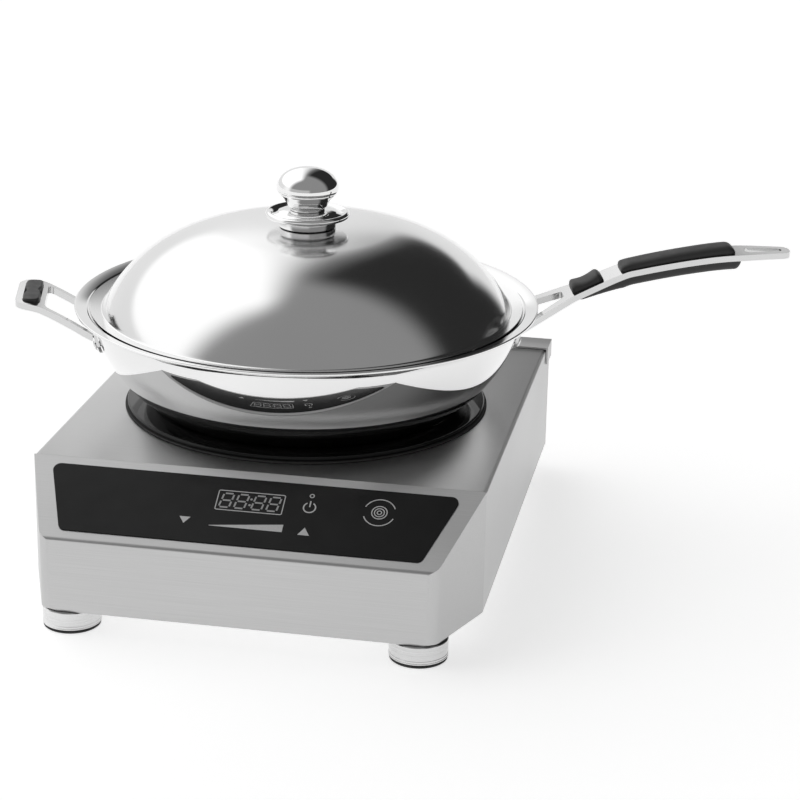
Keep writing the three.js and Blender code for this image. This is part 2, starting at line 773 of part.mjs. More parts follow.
function makeLongHandle() {
  const [rootR, crossR, tipR] = [166.3, 202, 381.5];
  const arm = 3.6;
  const outline = roundedPolygon([
    [rootR, -ROOT_SPREAD - arm],
    [crossR + 8, -HANDLE_HALF_WIDTH - 1, 20],
    [250, -HANDLE_HALF_WIDTH + 0.5, 60],
    [342, -HANDLE_HALF_WIDTH, 60],
    [tipR, -8.5, 8],
    [tipR, 8.5, 8],
    [342, HANDLE_HALF_WIDTH, 60],
    [250, HANDLE_HALF_WIDTH - 0.5, 60],
    [crossR + 8, HANDLE_HALF_WIDTH + 1, 20],
    [rootR, ROOT_SPREAD + arm],
    [rootR, ROOT_SPREAD - arm],
    [crossR, 7, 3],
    [crossR, -7, 3],
    [rootR, -ROOT_SPREAD + arm],
  ]);
  outline.holes.push(
    roundedPolygon([
      [345, -6.5, 5],
      [375, -3, 2.8],
      [375, 3, 2.8],
      [345, 6.5, 5],
    ]),
  );
  const band = bandAlong(HANDLE_LINE, HANDLE_THICKNESS, ROOT_SPREAD + 8);
  const frame = common(band, plate(outline, 150, 260, 4));
  return join(frame, fixingTab(ROOT_SPREAD), fixingTab(-ROOT_SPREAD));
}

// A grip pad lying on the handle between two radii, from one offset to another.
function gripPad(fromR, toR, near, far, halfWidth) {
  const shape = thicken(HANDLE_CURVE, far, near, shareAt(fromR), shareAt(toR));
  return extrudeBack(shape, -halfWidth, halfWidth);
}

const GRIP_HALF_WIDTH = 11.5;
const ON_HANDLE = HANDLE_THICKNESS / 2 + GAP;

function makeThumbPad() {
  const height = (share) => ON_HANDLE + 6.4 - 1.8 * Math.sin(Math.PI * share) - 2.4 * (2 * share - 1) ** 6;
  return gripPad(209.5, 234, ON_HANDLE, height, GRIP_HALF_WIDTH);
}

function makeUpperGrip() {
  const height = (share) => ON_HANDLE + 5.8 - 3.2 * (2 * share - 1) ** 8;
  return gripPad(247, 337, ON_HANDLE, height, GRIP_HALF_WIDTH);
}

function makeLowerGrip() {
  const depth = (share) => -ON_HANDLE - 8.4 * Math.min(1, 0.12 + 4 * share) + 4 * share ** 14;
  const shape = thicken(HANDLE_CURVE, -ON_HANDLE, depth, shareAt(211), shareAt(342));
  return extrudeBack(shape, -GRIP_HALF_WIDTH, GRIP_HALF_WIDTH);
}

const HELPER_GRIP = { fromR: 206, toR: 219.6, halfLength: 27 };

function makeHelperHandle() {
  const [rootR, tipR] = [165.8, 225];
  const arm = 3;
  const outer = HELPER_SPREAD + arm;
  const outline = roundedPolygon([
    [rootR, -outer],
    [tipR, -outer, 14],
    [tipR, outer, 14],
    [rootR, outer],
    [rootR, outer - 2 * arm],
    [202.5, outer - 2 * arm, 5],
    [202.5, -outer + 2 * arm, 5],
    [rootR, -outer + 2 * arm],
  ]);
  const { fromR, toR, halfLength } = HELPER_GRIP;
  outline.holes.push(
    roundedPolygon([
      [fromR, -halfLength, 5],
      [toR, -halfLength, 5],
      [toR, halfLength, 5],
      [fromR, halfLength, 5],
    ]),
  );
  const frame = common(bandAlong(HELPER_LINE, HELPER_THICKNESS, outer + 4), plate(outline, 150, 230, 4));
  return join(frame, fixingTab(HELPER_SPREAD), fixingTab(-HELPER_SPREAD));
}

function makeHelperGrip() {
  const { fromR, toR, halfLength } = HELPER_GRIP;
  const radius = 4.5;
  const outline = roundedPolygon([
    [fromR + GAP, -halfLength + GAP, radius],
    [toR - GAP, -halfLength + GAP, radius],
    [toR - GAP, halfLength - GAP, radius],
    [fromR + GAP, halfLength - GAP, radius],
  ]);
  return plate(outline, 197.8, 207.6, 4);
}

// ---------------------------------------------------------------- lid and knob

const SHOULDER_START = Math.asin(LID_CROWN_EDGE / LID_CROWN_ARC);
const BRIM_SLOPE = Math.atan2(WOK_FLANGE_DROP, WOK_RIM_R - WOK_FLANGE_R);

// One face of the dome, `inset` below its outside: a narrow brim parallel to the pan's rim, a
// round shoulder and a nearly flat crown.
function domeProfile(inset, innerR) {
  const crownCentreZ = LID_CROWN_Z - LID_CROWN_ARC;
  const reach = LID_CROWN_ARC - LID_SHOULDER_ARC;
  const shoulderX = reach * Math.sin(SHOULDER_START);
  const shoulderZ = crownCentreZ + reach * Math.cos(SHOULDER_START);
  const shoulderR = LID_SHOULDER_ARC - inset;
  const brimLift = (GAP + LID_WALL - inset) / Math.cos(BRIM_SLOPE);
  const brimZ = WOK_RIM_Z - (WOK_RIM_R - LID_BRIM_R) * Math.tan(BRIM_SLOPE) + brimLift;
  const aboveShoulder =
    (brimZ - shoulderZ) * Math.cos(BRIM_SLOPE) - (LID_BRIM_R - shoulderX) * Math.sin(BRIM_SLOPE);
  const atBrim = BRIM_SLOPE + Math.asin(aboveShoulder / shoulderR);
  const handover = Math.PI / 2 - SHOULDER_START;
  const crownR = LID_CROWN_ARC - inset;
  const atHole = Math.PI / 2 - Math.asin(innerR / crownR);
  return [
    [LID_BRIM_R, brimZ],
    ...arcPoints(shoulderX, shoulderZ, shoulderR, atBrim, handover, 7),
    ...arcPoints(0, crownCentreZ, crownR, handover, atHole, 2).slice(1),
  ];
}

const SCREW_R = 2.5;
const SCREW_HOLE_R = 3;

function makeLidDome() {
  const outer = domeProfile(0, SCREW_HOLE_R);
  const inner = domeProfile(LID_WALL, SCREW_HOLE_R);
  return revolve([...outer, ...inner.reverse(), outer[0]]);
}

const KNOB_BASE_TOP = LID_CROWN_Z + 6.5;
const FLANGE_TOP = LID_CROWN_Z + 13.4;
const KNOB_TOP = LID_CROWN_Z + 46.3;

function makeKnobBase() {
  const bottom = LID_CROWN_Z + GAP;
  return revolve(
    [
      [SCREW_HOLE_R, bottom],
      [22.2, bottom],
      [22.7, bottom + 0.6],
      [22.2, KNOB_BASE_TOP - GAP],
      [SCREW_HOLE_R, KNOB_BASE_TOP - GAP],
      [SCREW_HOLE_R, bottom],
    ],
    28,
  );
}

// The flange is a shallow dish with a rolled edge.
function makeKnobFlange() {
  const rolled = arcPoints(30.6, KNOB_BASE_TOP + 4.2, 2.2, -Math.PI / 2, Math.PI * 0.75, 5);
  return revolve(
    [
      [SCREW_HOLE_R, KNOB_BASE_TOP],
      [20, KNOB_BASE_TOP],
      ...rolled,
      [24, KNOB_BASE_TOP + 3.6],
      [17.5, FLANGE_TOP - GAP],
      [SCREW_HOLE_R, FLANGE_TOP - GAP],
      [SCREW_HOLE_R, KNOB_BASE_TOP],
    ],
    32,
  );
}

// The ball flares from its neck to a crease and closes over in a flattened dome.
function makeKnobBall() {
  const creaseZ = LID_CROWN_Z + 26;
  const capCentreZ = LID_CROWN_Z + 30;
  const [capR, capHeight] = [24.1, KNOB_TOP - capCentreZ];
  const steps = 6;
  const cap = Array.from({ length: steps + 1 }, (_, i) => {
    const angle = (i / steps) * (Math.PI / 2);
    return [capR * Math.cos(angle), capCentreZ + capHeight * Math.sin(angle)];
  });
  const screwTop = FLANGE_TOP + 12;
  return revolve(
    [
      [SCREW_HOLE_R, FLANGE_TOP],
      [15.6, FLANGE_TOP],
      [16.4, FLANGE_TOP + 1.2],
      [18.6, FLANGE_TOP + 6.5],
      [21.6, creaseZ],
      [22.6, creaseZ + 0.8],
      ...cap,
      [0, screwTop],
      [SCREW_HOLE_R, screwTop],
      [SCREW_HOLE_R, FLANGE_TOP],
    ],
    28,
  );
}

function makeKnobScrew() {
  const headTop = LID_CROWN_Z - LID_WALL - GAP;
  return revolve(
    [
      [0, headTop - 4],
      [6.5, headTop - 4],
      [7, headTop - 3],
      [7, headTop],
      [SCREW_R, headTop],
      [SCREW_R, FLANGE_TOP + 11],
      [0, FLANGE_TOP + 11],
    ],
    12,
  );
}

// ---------------------------------------------------------------- assembly

function placed(mesh, x, y, z, turn = 0) {
  mesh.position.set(x, y, z);
  mesh.rotation.z = turn;
  return mesh;
}

function addHousing(hob) {
  hob.add(named("top_cover", makeTopCover(), SATIN_STEEL));
  hob.add(named("front_panel", makeFrontPanel(), SATIN_STEEL));
  hob.add(named("base_plate", makeBasePlate(), SATIN_STEEL));
  hob.add(named("rear_cover", makeRearCover(), SATIN_STEEL));
  for (const [end, y] of [["front", FOOT_FRONT_Y], ["rear", FOOT_REAR_Y]]) {
    for (const [side, x] of [["left", -FOOT_X], ["right", FOOT_X]]) {
      hob.add(placed(named(`foot_${end}_${side}`, makeFoot(), MIRROR_STEEL), x, y, 0));
      hob.add(placed(named(`foot_pad_${end}_${side}`, makeFootPad(), SILICONE), x, y, 0));
    }
  }
}

function addCooking(hob) {
  hob.add(named("glass_bowl", makeGlassBowl(), BLACK_GLASS));
  hob.add(named("bowl_seal", makeBowlSeal(), SILICONE));
  hob.add(named("coil_winding", makeCoilWinding(), COPPER));
  hob.add(named("coil_carrier", makeCoilCarrier(), GREY_PLASTIC));
  hob.add(named("temperature_sensor", makeTemperatureSensor(), ALUMINIUM));
  const ferriteCount = 4;
  for (let i = 0; i < ferriteCount; i += 1) {
    const bar = named(`ferrite_bar_${i + 1}`, makeFerriteBar(), FERRITE);
    hob.add(placed(bar, 0, 0, 0, (2 * Math.PI * i) / ferriteCount));
  }
}

function addControls(hob) {
  hob.add(named("control_film", makeControlFilm(), FILM));
  hob.add(named("display_module", makeDisplayModule(), BLACK_PLASTIC));
  hob.add(named("control_board", makeControlBoard(), CIRCUIT_BOARD));
  for (const [name, place] of Object.entries(KEYS)) {
    hob.add(named(`key_${name}`, makeKey(place), GREY_PLASTIC));
    hob.add(named(`switch_${name}`, makeSwitchBody(place), BLACK_PLASTIC));
  }
}

function addElectronics(hob) {
  hob.add(named("power_board", makePowerBoard(), CIRCUIT_BOARD));
  hob.add(named("heatsink", makeHeatsink(), ALUMINIUM));
  const transistor = named("power_transistor", makePackage(16, 20), BLACK_PLASTIC);
  hob.add(placed(transistor, 98, -95, ON_BOARD_Z, Math.PI / 2));
  const rectifier = named("bridge_rectifier", makePackage(28, 18), BLACK_PLASTIC);
  hob.add(placed(rectifier, 98, -50, ON_BOARD_Z, Math.PI / 2));
  hob.add(placed(named("resonance_capacitor", makeCapacitor(), GREY_PLASTIC), 50, -115, ON_BOARD_Z));
  hob.add(placed(named("smoothing_capacitor", makeCapacitor(), GREY_PLASTIC), 5, -115, ON_BOARD_Z));
  hob.add(placed(named("filter_choke", makeFilterChoke(), COPPER), 30, -75, ON_BOARD_Z));
  hob.add(placed(named("fan_frame", makeFanFrame(), BLACK_PLASTIC), FAN.x, FAN.y, BASE_TOP_Z + GAP));
  hob.add(placed(named("fan_rotor", makeFanRotor(), BLACK_PLASTIC), FAN.x, FAN.y, BASE_TOP_Z + GAP));
  hob.add(placed(named("terminal_block", makeTerminalBlock(), GREY_PLASTIC), 112, 158, BASE_TOP_Z + GAP));
  hob.add(named("cable_gland", makeCableGland(), BLACK_PLASTIC));
}

// The pan is drawn with its long handle along +X and its helper handle along -X.
function makeWok() {
  const wok = new THREE.Group();
  wok.add(named("wok_pan", makeWokPan(), MIRROR_STEEL));
  wok.add(named("long_handle", makeLongHandle(), MIRROR_STEEL));
  wok.add(named("thumb_pad", makeThumbPad(), BLACK_PLASTIC));
  wok.add(named("upper_grip", makeUpperGrip(), BLACK_PLASTIC));
  wok.add(named("lower_grip", makeLowerGrip(), BLACK_PLASTIC));
  wok.add(named("long_handle_rivet_left", makeRivet(ROOT_SPREAD), SATIN_STEEL));
  wok.add(named("long_handle_rivet_right", makeRivet(-ROOT_SPREAD), SATIN_STEEL));
  const helper = new THREE.Group();
  helper.rotation.z = Math.PI;
  helper.add(named("helper_handle", makeHelperHandle(), MIRROR_STEEL));
  helper.add(named("helper_grip", makeHelperGrip(), BLACK_PLASTIC));
  helper.add(named("helper_rivet_left", makeRivet(HELPER_SPREAD), SATIN_STEEL));
  helper.add(named("helper_rivet_right", makeRivet(-HELPER_SPREAD), SATIN_STEEL));
  wok.add(helper);
  wok.rotation.z = HANDLE_TURN;
  return wok;
}

function makeLid() {
  const lid = new THREE.Group();
  lid.add(named("lid_dome", makeLidDome(), MIRROR_STEEL));
  lid.add(named("knob_base", makeKnobBase(), MIRROR_STEEL));
  lid.add(named("knob_flange", makeKnobFlange(), MIRROR_STEEL));
  lid.add(named("knob_ball", makeKnobBall(), MIRROR_STEEL));
  lid.add(named("knob_screw", makeKnobScrew(), SATIN_STEEL));
  return lid;
}

const model = new THREE.Group();
addHousing(model);
addCooking(model);
addControls(model);
addElectronics(model);
model.add(makeWok(), makeLid());

const bounds = new THREE.Box3().setFromObject(model, true);
const middle = bounds.getCenter(new THREE.Vector3());
model.position.set(-middle.x, -middle.y, 0);

export default model;
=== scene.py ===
"""Induction wok hob with its wok pan and lid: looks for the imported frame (Blender 4.5, metres)."""

import json
import math

import bmesh
import bpy
from mathutils import Matrix, Vector


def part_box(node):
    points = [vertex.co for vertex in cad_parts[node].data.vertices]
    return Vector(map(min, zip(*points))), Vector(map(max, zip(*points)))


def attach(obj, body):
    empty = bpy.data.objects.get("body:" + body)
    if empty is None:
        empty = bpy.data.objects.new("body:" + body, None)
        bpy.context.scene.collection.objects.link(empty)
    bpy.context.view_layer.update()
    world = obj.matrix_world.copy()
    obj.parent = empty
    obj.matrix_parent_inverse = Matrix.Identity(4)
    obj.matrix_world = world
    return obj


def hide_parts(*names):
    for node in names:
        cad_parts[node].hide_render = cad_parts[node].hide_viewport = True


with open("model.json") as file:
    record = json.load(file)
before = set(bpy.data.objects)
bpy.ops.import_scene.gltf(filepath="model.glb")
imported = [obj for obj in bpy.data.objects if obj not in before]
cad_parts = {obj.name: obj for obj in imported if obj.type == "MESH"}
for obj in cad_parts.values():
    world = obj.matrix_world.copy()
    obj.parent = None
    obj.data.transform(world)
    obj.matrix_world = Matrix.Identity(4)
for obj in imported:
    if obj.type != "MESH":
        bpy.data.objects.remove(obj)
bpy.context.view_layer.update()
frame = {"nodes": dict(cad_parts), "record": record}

# ---------------------------------------------------------------- places and sizes (millimetres)

MM = 0.001
TOP_Z = 114.5  # top of the cover
UNDERSIDE_Z = 20.0
HOB_WIDTH = 340.0
FRONT_TOP_Y = -164.0  # where the sloped face meets the top
FRONT_DEPTH = 64.0
FRONT_WIDTH = 290.5
FOLD_Z = 75.5
REAR_Y = 196.0
SHEET = 1.2
GAP = 0.3  # between pieces that touch
FOLD_R = 4.0  # rounding of the fold below the sloped face
FRONT_CORNER_R = 10.0
COVER_BEND_R = 3.0
SLOPE = math.atan2(TOP_Z - FOLD_Z, FRONT_DEPTH)

FOOT_R = 21.6
FOOT_BOTTOM_Z = 2.3
FOOT_TOP_Z = 16.5
PAD_HEIGHT = 2.0

RIM_R = 141.5  # outer radius of the flat glass rim
RIM_TOP_Z = 119.3
COVER_HOLE_R = 134.0
GLASS = 5.0
BOWL_CLEARANCE = 0.5  # below the pan
SEAL_HEIGHT = 1.2

WOK_BELLY_R = 168.5  # outer radius at the height where the wall is upright
WOK_BELLY_Z = 200.3
WOK_DEPTH = 116.6
WOK_WALL = 2.5
WOK_RIM_R = 181.3
WOK_RIM_Z = 198.3
WOK_FLANGE_R = 166.7  # inner edge of the sloping rim
WOK_FLANGE_DROP = 4.5

LID_CROWN_Z = 257.8
LID_CROWN_ARC = 1006.0  # radius of the nearly flat crown
LID_CROWN_EDGE = 65.5  # where the crown passes into the shoulder
LID_SHOULDER_ARC = 114.3
LID_BRIM_R = 168.5
LID_WALL = 1.5
KNOB_HOLE_R = 3.0

HANDLE_TURN = math.radians(15)  # both handles, about the cooking axis
LATHE_STEPS = 192
FINE_LATHE_STEPS = 256  # the pan and the lid
SMALL_LATHE_STEPS = 128  # feet and knob
AXIS = 1e-6  # a smaller radius lies on the axis

low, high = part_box("glass_bowl")
HOB_PLACE = Matrix.Translation(((low[0] + high[0]) / 2, (low[1] + high[1]) / 2, 0))
HOB_PLACE = HOB_PLACE @ Matrix.Scale(MM, 4)  # the cooking axis, in millimetres from the floor
WOK_PLACE = HOB_PLACE @ Matrix.Rotation(HANDLE_TURN, 4, "Z")
HELPER_PLACE = WOK_PLACE @ Matrix.Rotation(math.pi, 4, "Z")
# The sloped face's own place: x across, y up the slope from its top edge, z out of the face.
ONTO_SLOPE = Matrix.Translation((0, FRONT_TOP_Y, TOP_Z)) @ Matrix.Rotation(SLOPE, 4, "X")
SLOPE_PLACE = HOB_PLACE @ ONTO_SLOPE

# ---------------------------------------------------------------- mesh helpers


def arc(centre, radius, start, end, steps):
    """Points on an arc from one angle in degrees to another, both ends included."""
    points = []
    for i in range(steps + 1):
        angle = math.radians(start + (end - start) * i / steps)
        points.append((centre[0] + radius * math.cos(angle), centre[1] + radius * math.sin(angle)))
    return points


def rounded(corners, steps=6, closed=True):
    """A polyline whose corners are (x, y) or (x, y, radius), with the radii drawn as arcs."""
    points = []
    count = len(corners)
    for i, corner in enumerate(corners):
        here = Vector(corner[:2])
        radius = corner[2] if len(corner) > 2 else 0
        if radius == 0 or (not closed and i in (0, count - 1)):
            points.append(tuple(here))
            continue
        before = (Vector(corners[i - 1][:2]) - here).normalized()
        after = (Vector(corners[(i + 1) % count][:2]) - here).normalized()
        half = before.angle(after) / 2
        middle = (before + after).normalized()
        centre = here + middle * (radius / math.sin(half))
        first = (here + before * (radius / math.tan(half))) - centre
        turn = first.angle_signed((here + after * (radius / math.tan(half))) - centre)
        for step in range(steps + 1):
            angle = -turn * step / steps
            spoke = Matrix.Rotation(angle, 2) @ first
            points.append(tuple(centre + spoke))
    return points


def rectangle(width, height, radius=0, x=0, y=0):
    """Corners of a rectangle about (x, y), for rounded()."""
    w, h = width / 2, height / 2
    return [
        (x - w, y - h, radius),
        (x + w, y - h, radius),
        (x + w, y + h, radius),
        (x - w, y + h, radius),
    ]


def prism(outline, start, end):
    """A bmesh of the outline from z = start to z = end."""
    bm = bmesh.new()
    bottom = [bm.verts.new((x, y, start)) for x, y in outline]
    top = [bm.verts.new((x, y, end)) for x, y in outline]
    bm.faces.new(bottom)
    bm.faces.new(top)
    for i in range(len(outline)):
        j = (i + 1) % len(outline)
        bm.faces.new((bottom[i], bottom[j], top[j], top[i]))
    bmesh.ops.recalc_face_normals(bm, faces=bm.faces)
    return bm


def prism_across(outline, start, end):
    """A bmesh of a side view drawn as (y, z), from x = start to x = end."""
    bm = prism(outline, start, end)
    turned = Matrix(((0, 0, 1, 0), (1, 0, 0, 0), (0, 1, 0, 0), (0, 0, 0, 1)))
    bmesh.ops.transform(bm, matrix=turned, verts=bm.verts)
    return bm


def prism_back(outline, start, end):
    """A bmesh of a front view drawn as (x, z), from y = start to y = end."""
    bm = prism(outline, -end, -start)
    bmesh.ops.rotate(bm, matrix=Matrix.Rotation(math.pi / 2, 3, "X"), verts=bm.verts)
    return bm


def lathe(profile, steps=LATHE_STEPS):
    """A bmesh of revolution about Z. The (radius, z) profile starts and ends on the axis, or is a loop."""
    bm = bmesh.new()
    rings = []
    for radius, z in profile:
        if radius < AXIS:
            rings.append([bm.verts.new((0, 0, z))] * steps)
            continue
        turn = [2 * math.pi * i / steps for i in range(steps)]
        rings.append([bm.verts.new((radius * math.cos(a), radius * math.sin(a), z)) for a in turn])
    following = rings[1:] if profile[0][0] < AXIS else rings[1:] + rings[:1]
    for lower, upper in zip(rings, following):
        for i in range(steps):
            j = (i + 1) % steps
            corners = [lower[i], lower[j], upper[j], upper[i]]
            bm.faces.new(list(dict.fromkeys(corners)))
    bmesh.ops.recalc_face_normals(bm, faces=bm.faces)
    return bm


def turned_down(bm):
    """Lays a bmesh of revolution on its side, so that its axis is +X."""
    bmesh.ops.rotate(bm, matrix=Matrix.Rotation(math.pi / 2, 3, "Y"), verts=bm.verts)
    return bm


def moved(bm, x=0, y=0, z=0):
    """The same bmesh after a shift."""
    bmesh.ops.translate(bm, vec=(x, y, z), verts=bm.verts)
    return bm


def mesh_of(bm, name="part"):
    """A mesh of the bmesh, which is freed."""
    mesh = bpy.data.meshes.new(name)
    bm.to_mesh(mesh)
    bm.free()
    return mesh


def boolean(base, tool, operation):
    """The bmesh of two bmeshes cut or intersected."""
    solids = []
    for bm in (base, tool):
        solid = bpy.data.objects.new("solid", mesh_of(bm))
        bpy.context.scene.collection.objects.link(solid)
        solids.append(solid)
    modifier = solids[0].modifiers.new("boolean", "BOOLEAN")
    modifier.operation = operation
    modifier.solver = "EXACT"
    modifier.object = solids[1]
    evaluated = solids[0].evaluated_get(bpy.context.evaluated_depsgraph_get())
    result = bmesh.new()
    result.from_mesh(evaluated.to_mesh())
    evaluated.to_mesh_clear()
    for solid in solids:
        mesh = solid.data
        bpy.data.objects.remove(solid)
        bpy.data.meshes.remove(mesh)
    return result


def cut(base, *tools):
    """The base without the tools."""
    for tool in tools:
        base = boolean(base, tool, "DIFFERENCE")
    return base


def common(first, second):
    """What two bmeshes have in common."""
    return boolean(first, second, "INTERSECT")


def add_piece(name, bm, place, body, slot, material=None, nodes=(), bevel=0, smooth=32):
    """Makes a smooth-shaded piece in the frame: it rides on a body and may stand for CAD nodes."""
    mesh = mesh_of(bm, name)
    mesh.transform(place)
    mesh.materials.append(material or LOOKS[slot])
    mesh.shade_smooth()
    mesh.set_sharp_from_angle(angle=math.radians(smooth))
    piece = bpy.data.objects.new(name, mesh)
    bpy.context.scene.collection.objects.link(piece)
    if bevel:
        rounding = piece.modifiers.new("rounding", "BEVEL")
        rounding.width = bevel * MM
        rounding.segments = 3
        rounding.limit_method = "ANGLE"
        rounding.angle_limit = math.radians(smooth)
        rounding.harden_normals = True
    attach(piece, body)
    if nodes:
        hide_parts(*nodes)
    return piece


def add_visual(node, bm, place, body, slot, **finish):
    """The visual piece that stands for one CAD node."""
    return add_piece(f"{node}_visual", bm, place, body, slot, nodes=(node,), **finish)


# ---------------------------------------------------------------- materials


class Look:
    """A Principled material with the few node recipes that these surfaces use."""

    def __init__(self, name, **sockets):
        self.material = bpy.data.materials.new(name)
        self.material.use_nodes = True
        self.tree = self.material.node_tree
        self.shader = self.tree.nodes["Principled BSDF"]
        self.place = self.tree.nodes.new("ShaderNodeTexCoord").outputs["Object"]
        for socket, value in sockets.items():
            self.shader.inputs[socket.replace("_", " ")].default_value = value

    def node(self, kind, **values):
        """A new node with some of its sockets or settings given."""
        made = self.tree.nodes.new(kind)
        for key, value in values.items():
            if key in made.inputs:
                made.inputs[key].default_value = value
            else:
                setattr(made, key, value)
        return made

    def link(self, output, socket):
        self.tree.links.new(output, socket)

    def noise(self, scale, detail=2.0, stretch=(1, 1, 1)):
        """Noise on the object's own coordinates, `scale` cells per metre, finer along each stretched axis."""
        mapping = self.node("ShaderNodeMapping", Scale=stretch)
        self.link(self.place, mapping.inputs["Vector"])
        texture = self.node("ShaderNodeTexNoise", Scale=scale, Detail=detail)
        self.link(mapping.outputs["Vector"], texture.inputs["Vector"])
        return texture.outputs["Fac"]

    def spread(self, value, low, high, start=0.3, end=0.7):
        """Maps a value between start and end onto the range from low to high."""
        mapped = self.node("ShaderNodeMapRange")
        mapped.inputs["From Min"].default_value = start
        mapped.inputs["From Max"].default_value = end
        mapped.inputs["To Min"].default_value = low
        mapped.inputs["To Max"].default_value = high
        self.link(value, mapped.inputs["Value"])
        return mapped.outputs["Result"]

    def shade(self, value, dark, light, start=0.3, end=0.7):
        """Base colour between two tones."""
        ramp = self.node("ShaderNodeValToRGB")
        ramp.color_ramp.elements[0].position = start
        ramp.color_ramp.elements[1].position = end
        ramp.color_ramp.elements[0].color = (*dark, 1)
        ramp.color_ramp.elements[1].color = (*light, 1)
        self.link(value, ramp.inputs["Fac"])
        self.link(ramp.outputs["Color"], self.shader.inputs["Base Color"])

    def bump(self, value, strength, distance):
        """Relief `distance` metres deep."""
        relief = self.node("ShaderNodeBump", Strength=strength, Distance=distance)
        self.link(value, relief.inputs["Height"])
        self.link(relief.outputs["Normal"], self.shader.inputs["Normal"])

    def mix(self, factor, first, second):
        """A value that goes from the first to the second as the factor goes from 0 to 1."""
        blend = self.node("ShaderNodeMix", data_type="FLOAT")
        self.link(factor, blend.inputs[0])
        self.link(first, blend.inputs[2])
        self.link(second, blend.inputs[3])
        return blend.outputs[0]


def grey(level):
    """A neutral colour."""
    return (level, level, level)


def satin_steel():
    """Brushed sheet: fine lines along the front, and front to back on the side walls."""
    look = Look("satin_steel", Metallic=1.0, Roughness=0.33, Anisotropic=0.35)
    lines_x = look.noise(1, 3, stretch=(14, 4200, 4200))
    lines_y = look.noise(1, 3, stretch=(4200, 14, 4200))
    coords = look.tree.nodes.new("ShaderNodeTexCoord")
    facing = look.node("ShaderNodeSeparateXYZ")
    look.link(coords.outputs["Normal"], facing.inputs[0])
    sideways = look.node("ShaderNodeMath", operation="ABSOLUTE")
    look.link(facing.outputs["X"], sideways.inputs[0])
    on_side = look.spread(sideways.outputs[0], 0, 1, 0.8, 0.9)
    lines = look.mix(on_side, lines_x, lines_y)
    look.shade(lines, grey(0.50), grey(0.57))
    clouds = look.spread(look.noise(9, 3), 0.25, 0.75)
    clean = look.spread(lines, 0.27, 0.36)
    handled = look.spread(lines, 0.33, 0.43)
    roughness = look.mix(clouds, clean, handled)
    look.link(roughness, look.shader.inputs["Roughness"])
    look.bump(lines, 0.2, 0.00001)
    return look.material


def mirror_steel(name="mirror_steel", haze=0.04, tone=0.83):
    """Mirror polish with faint cloudy haze and hairline polishing marks."""
    look = Look(name, Metallic=1.0)
    look.shade(look.noise(7, 2), grey(tone - 0.03), grey(tone + 0.03))
    look.link(look.spread(look.noise(14, 4), haze - 0.02, haze + 0.02), look.shader.inputs["Roughness"])
    look.bump(look.noise(1, 2, stretch=(30, 30, 1800)), 0.02, 0.00001)
    return look.material


def turned_steel():
    """Turned faces: fine rings stacked along the axis."""
    look = Look("turned_steel", Metallic=1.0, Roughness=0.28)
    rings = look.noise(1, 2, stretch=(6, 6, 5200))
    look.shade(rings, grey(0.62), grey(0.78))
    look.link(look.spread(rings, 0.18, 0.34), look.shader.inputs["Roughness"])
    look.bump(rings, 0.3, 0.00003)
    return look.material


def black_glass():
    """Glossy glass-ceramic with a faint waviness."""
    look = Look("black_glass", IOR=1.52, Specular_IOR_Level=0.2)
    look.shade(look.noise(25, 3), grey(0.003), grey(0.006))
    look.link(look.spread(look.noise(60, 4), 0.03, 0.09), look.shader.inputs["Roughness"])
    look.bump(look.noise(18, 1), 0.03, 0.0001)
    return look.material


def label_film():
    """Glossy printed film over steel, with the faint ripple of an adhesive layer."""
    look = Look("label_film", IOR=1.5, Specular_IOR_Level=0.18)
    look.shade(look.noise(40, 2), grey(0.006), grey(0.009))
    look.link(look.spread(look.noise(70, 3), 0.13, 0.22), look.shader.inputs["Roughness"])
    look.bump(look.noise(55, 2), 0.06, 0.00008)
    return look.material


def printed_ink(name, level):
    """Screen-printed ink of one tone with a slight grain."""
    look = Look(name, Roughness=0.35)
    look.shade(look.noise(900, 2), grey(level * 0.9), grey(level))
    look.bump(look.noise(4000, 1), 0.1, 0.00001)
    return look.material


def silicone():
    """Soft grip with a fine matt grain."""
    look = Look("grip_silicone", IOR=1.42, Sheen_Weight=0.1, Sheen_Roughness=0.4)
    look.shade(look.noise(30, 4), grey(0.022), grey(0.036))
    look.link(look.spread(look.noise(120, 3), 0.42, 0.58), look.shader.inputs["Roughness"])
    look.bump(look.noise(2600, 2), 0.25, 0.00004)
    return look.material


def rubber():
    """Matt black rubber."""
    look = Look("pad_rubber", IOR=1.45)
    look.shade(look.noise(60, 3), grey(0.016), grey(0.03))
    look.link(look.spread(look.noise(200, 3), 0.6, 0.8), look.shader.inputs["Roughness"])
    look.bump(look.noise(1500, 2), 0.4, 0.00006)
    return look.material


def moulded(name, level):
    """Spark-eroded moulded plastic."""
    look = Look(name, IOR=1.46)
    look.shade(look.noise(25, 3), grey(level * 0.85), grey(level * 1.1))
    look.link(look.spread(look.noise(300, 3), 0.42, 0.6), look.shader.inputs["Roughness"])
    look.bump(look.noise(3000, 2), 0.3, 0.00004)
    return look.material


def circuit_board():
    """Green solder mask over darker copper tracks."""
    look = Look("circuit_board", IOR=1.5, Coat_Weight=0.3, Coat_Roughness=0.2)
    tracks = look.node("ShaderNodeTexBrick", Scale=240.0)
    look.link(look.place, tracks.inputs["Vector"])
    look.shade(tracks.outputs["Fac"], (0.01, 0.07, 0.03), (0.02, 0.13, 0.05), 0.2, 0.8)
    look.link(look.spread(look.noise(90, 2), 0.3, 0.42), look.shader.inputs["Roughness"])
    look.bump(tracks.outputs["Fac"], 0.2, 0.00005)
    return look.material


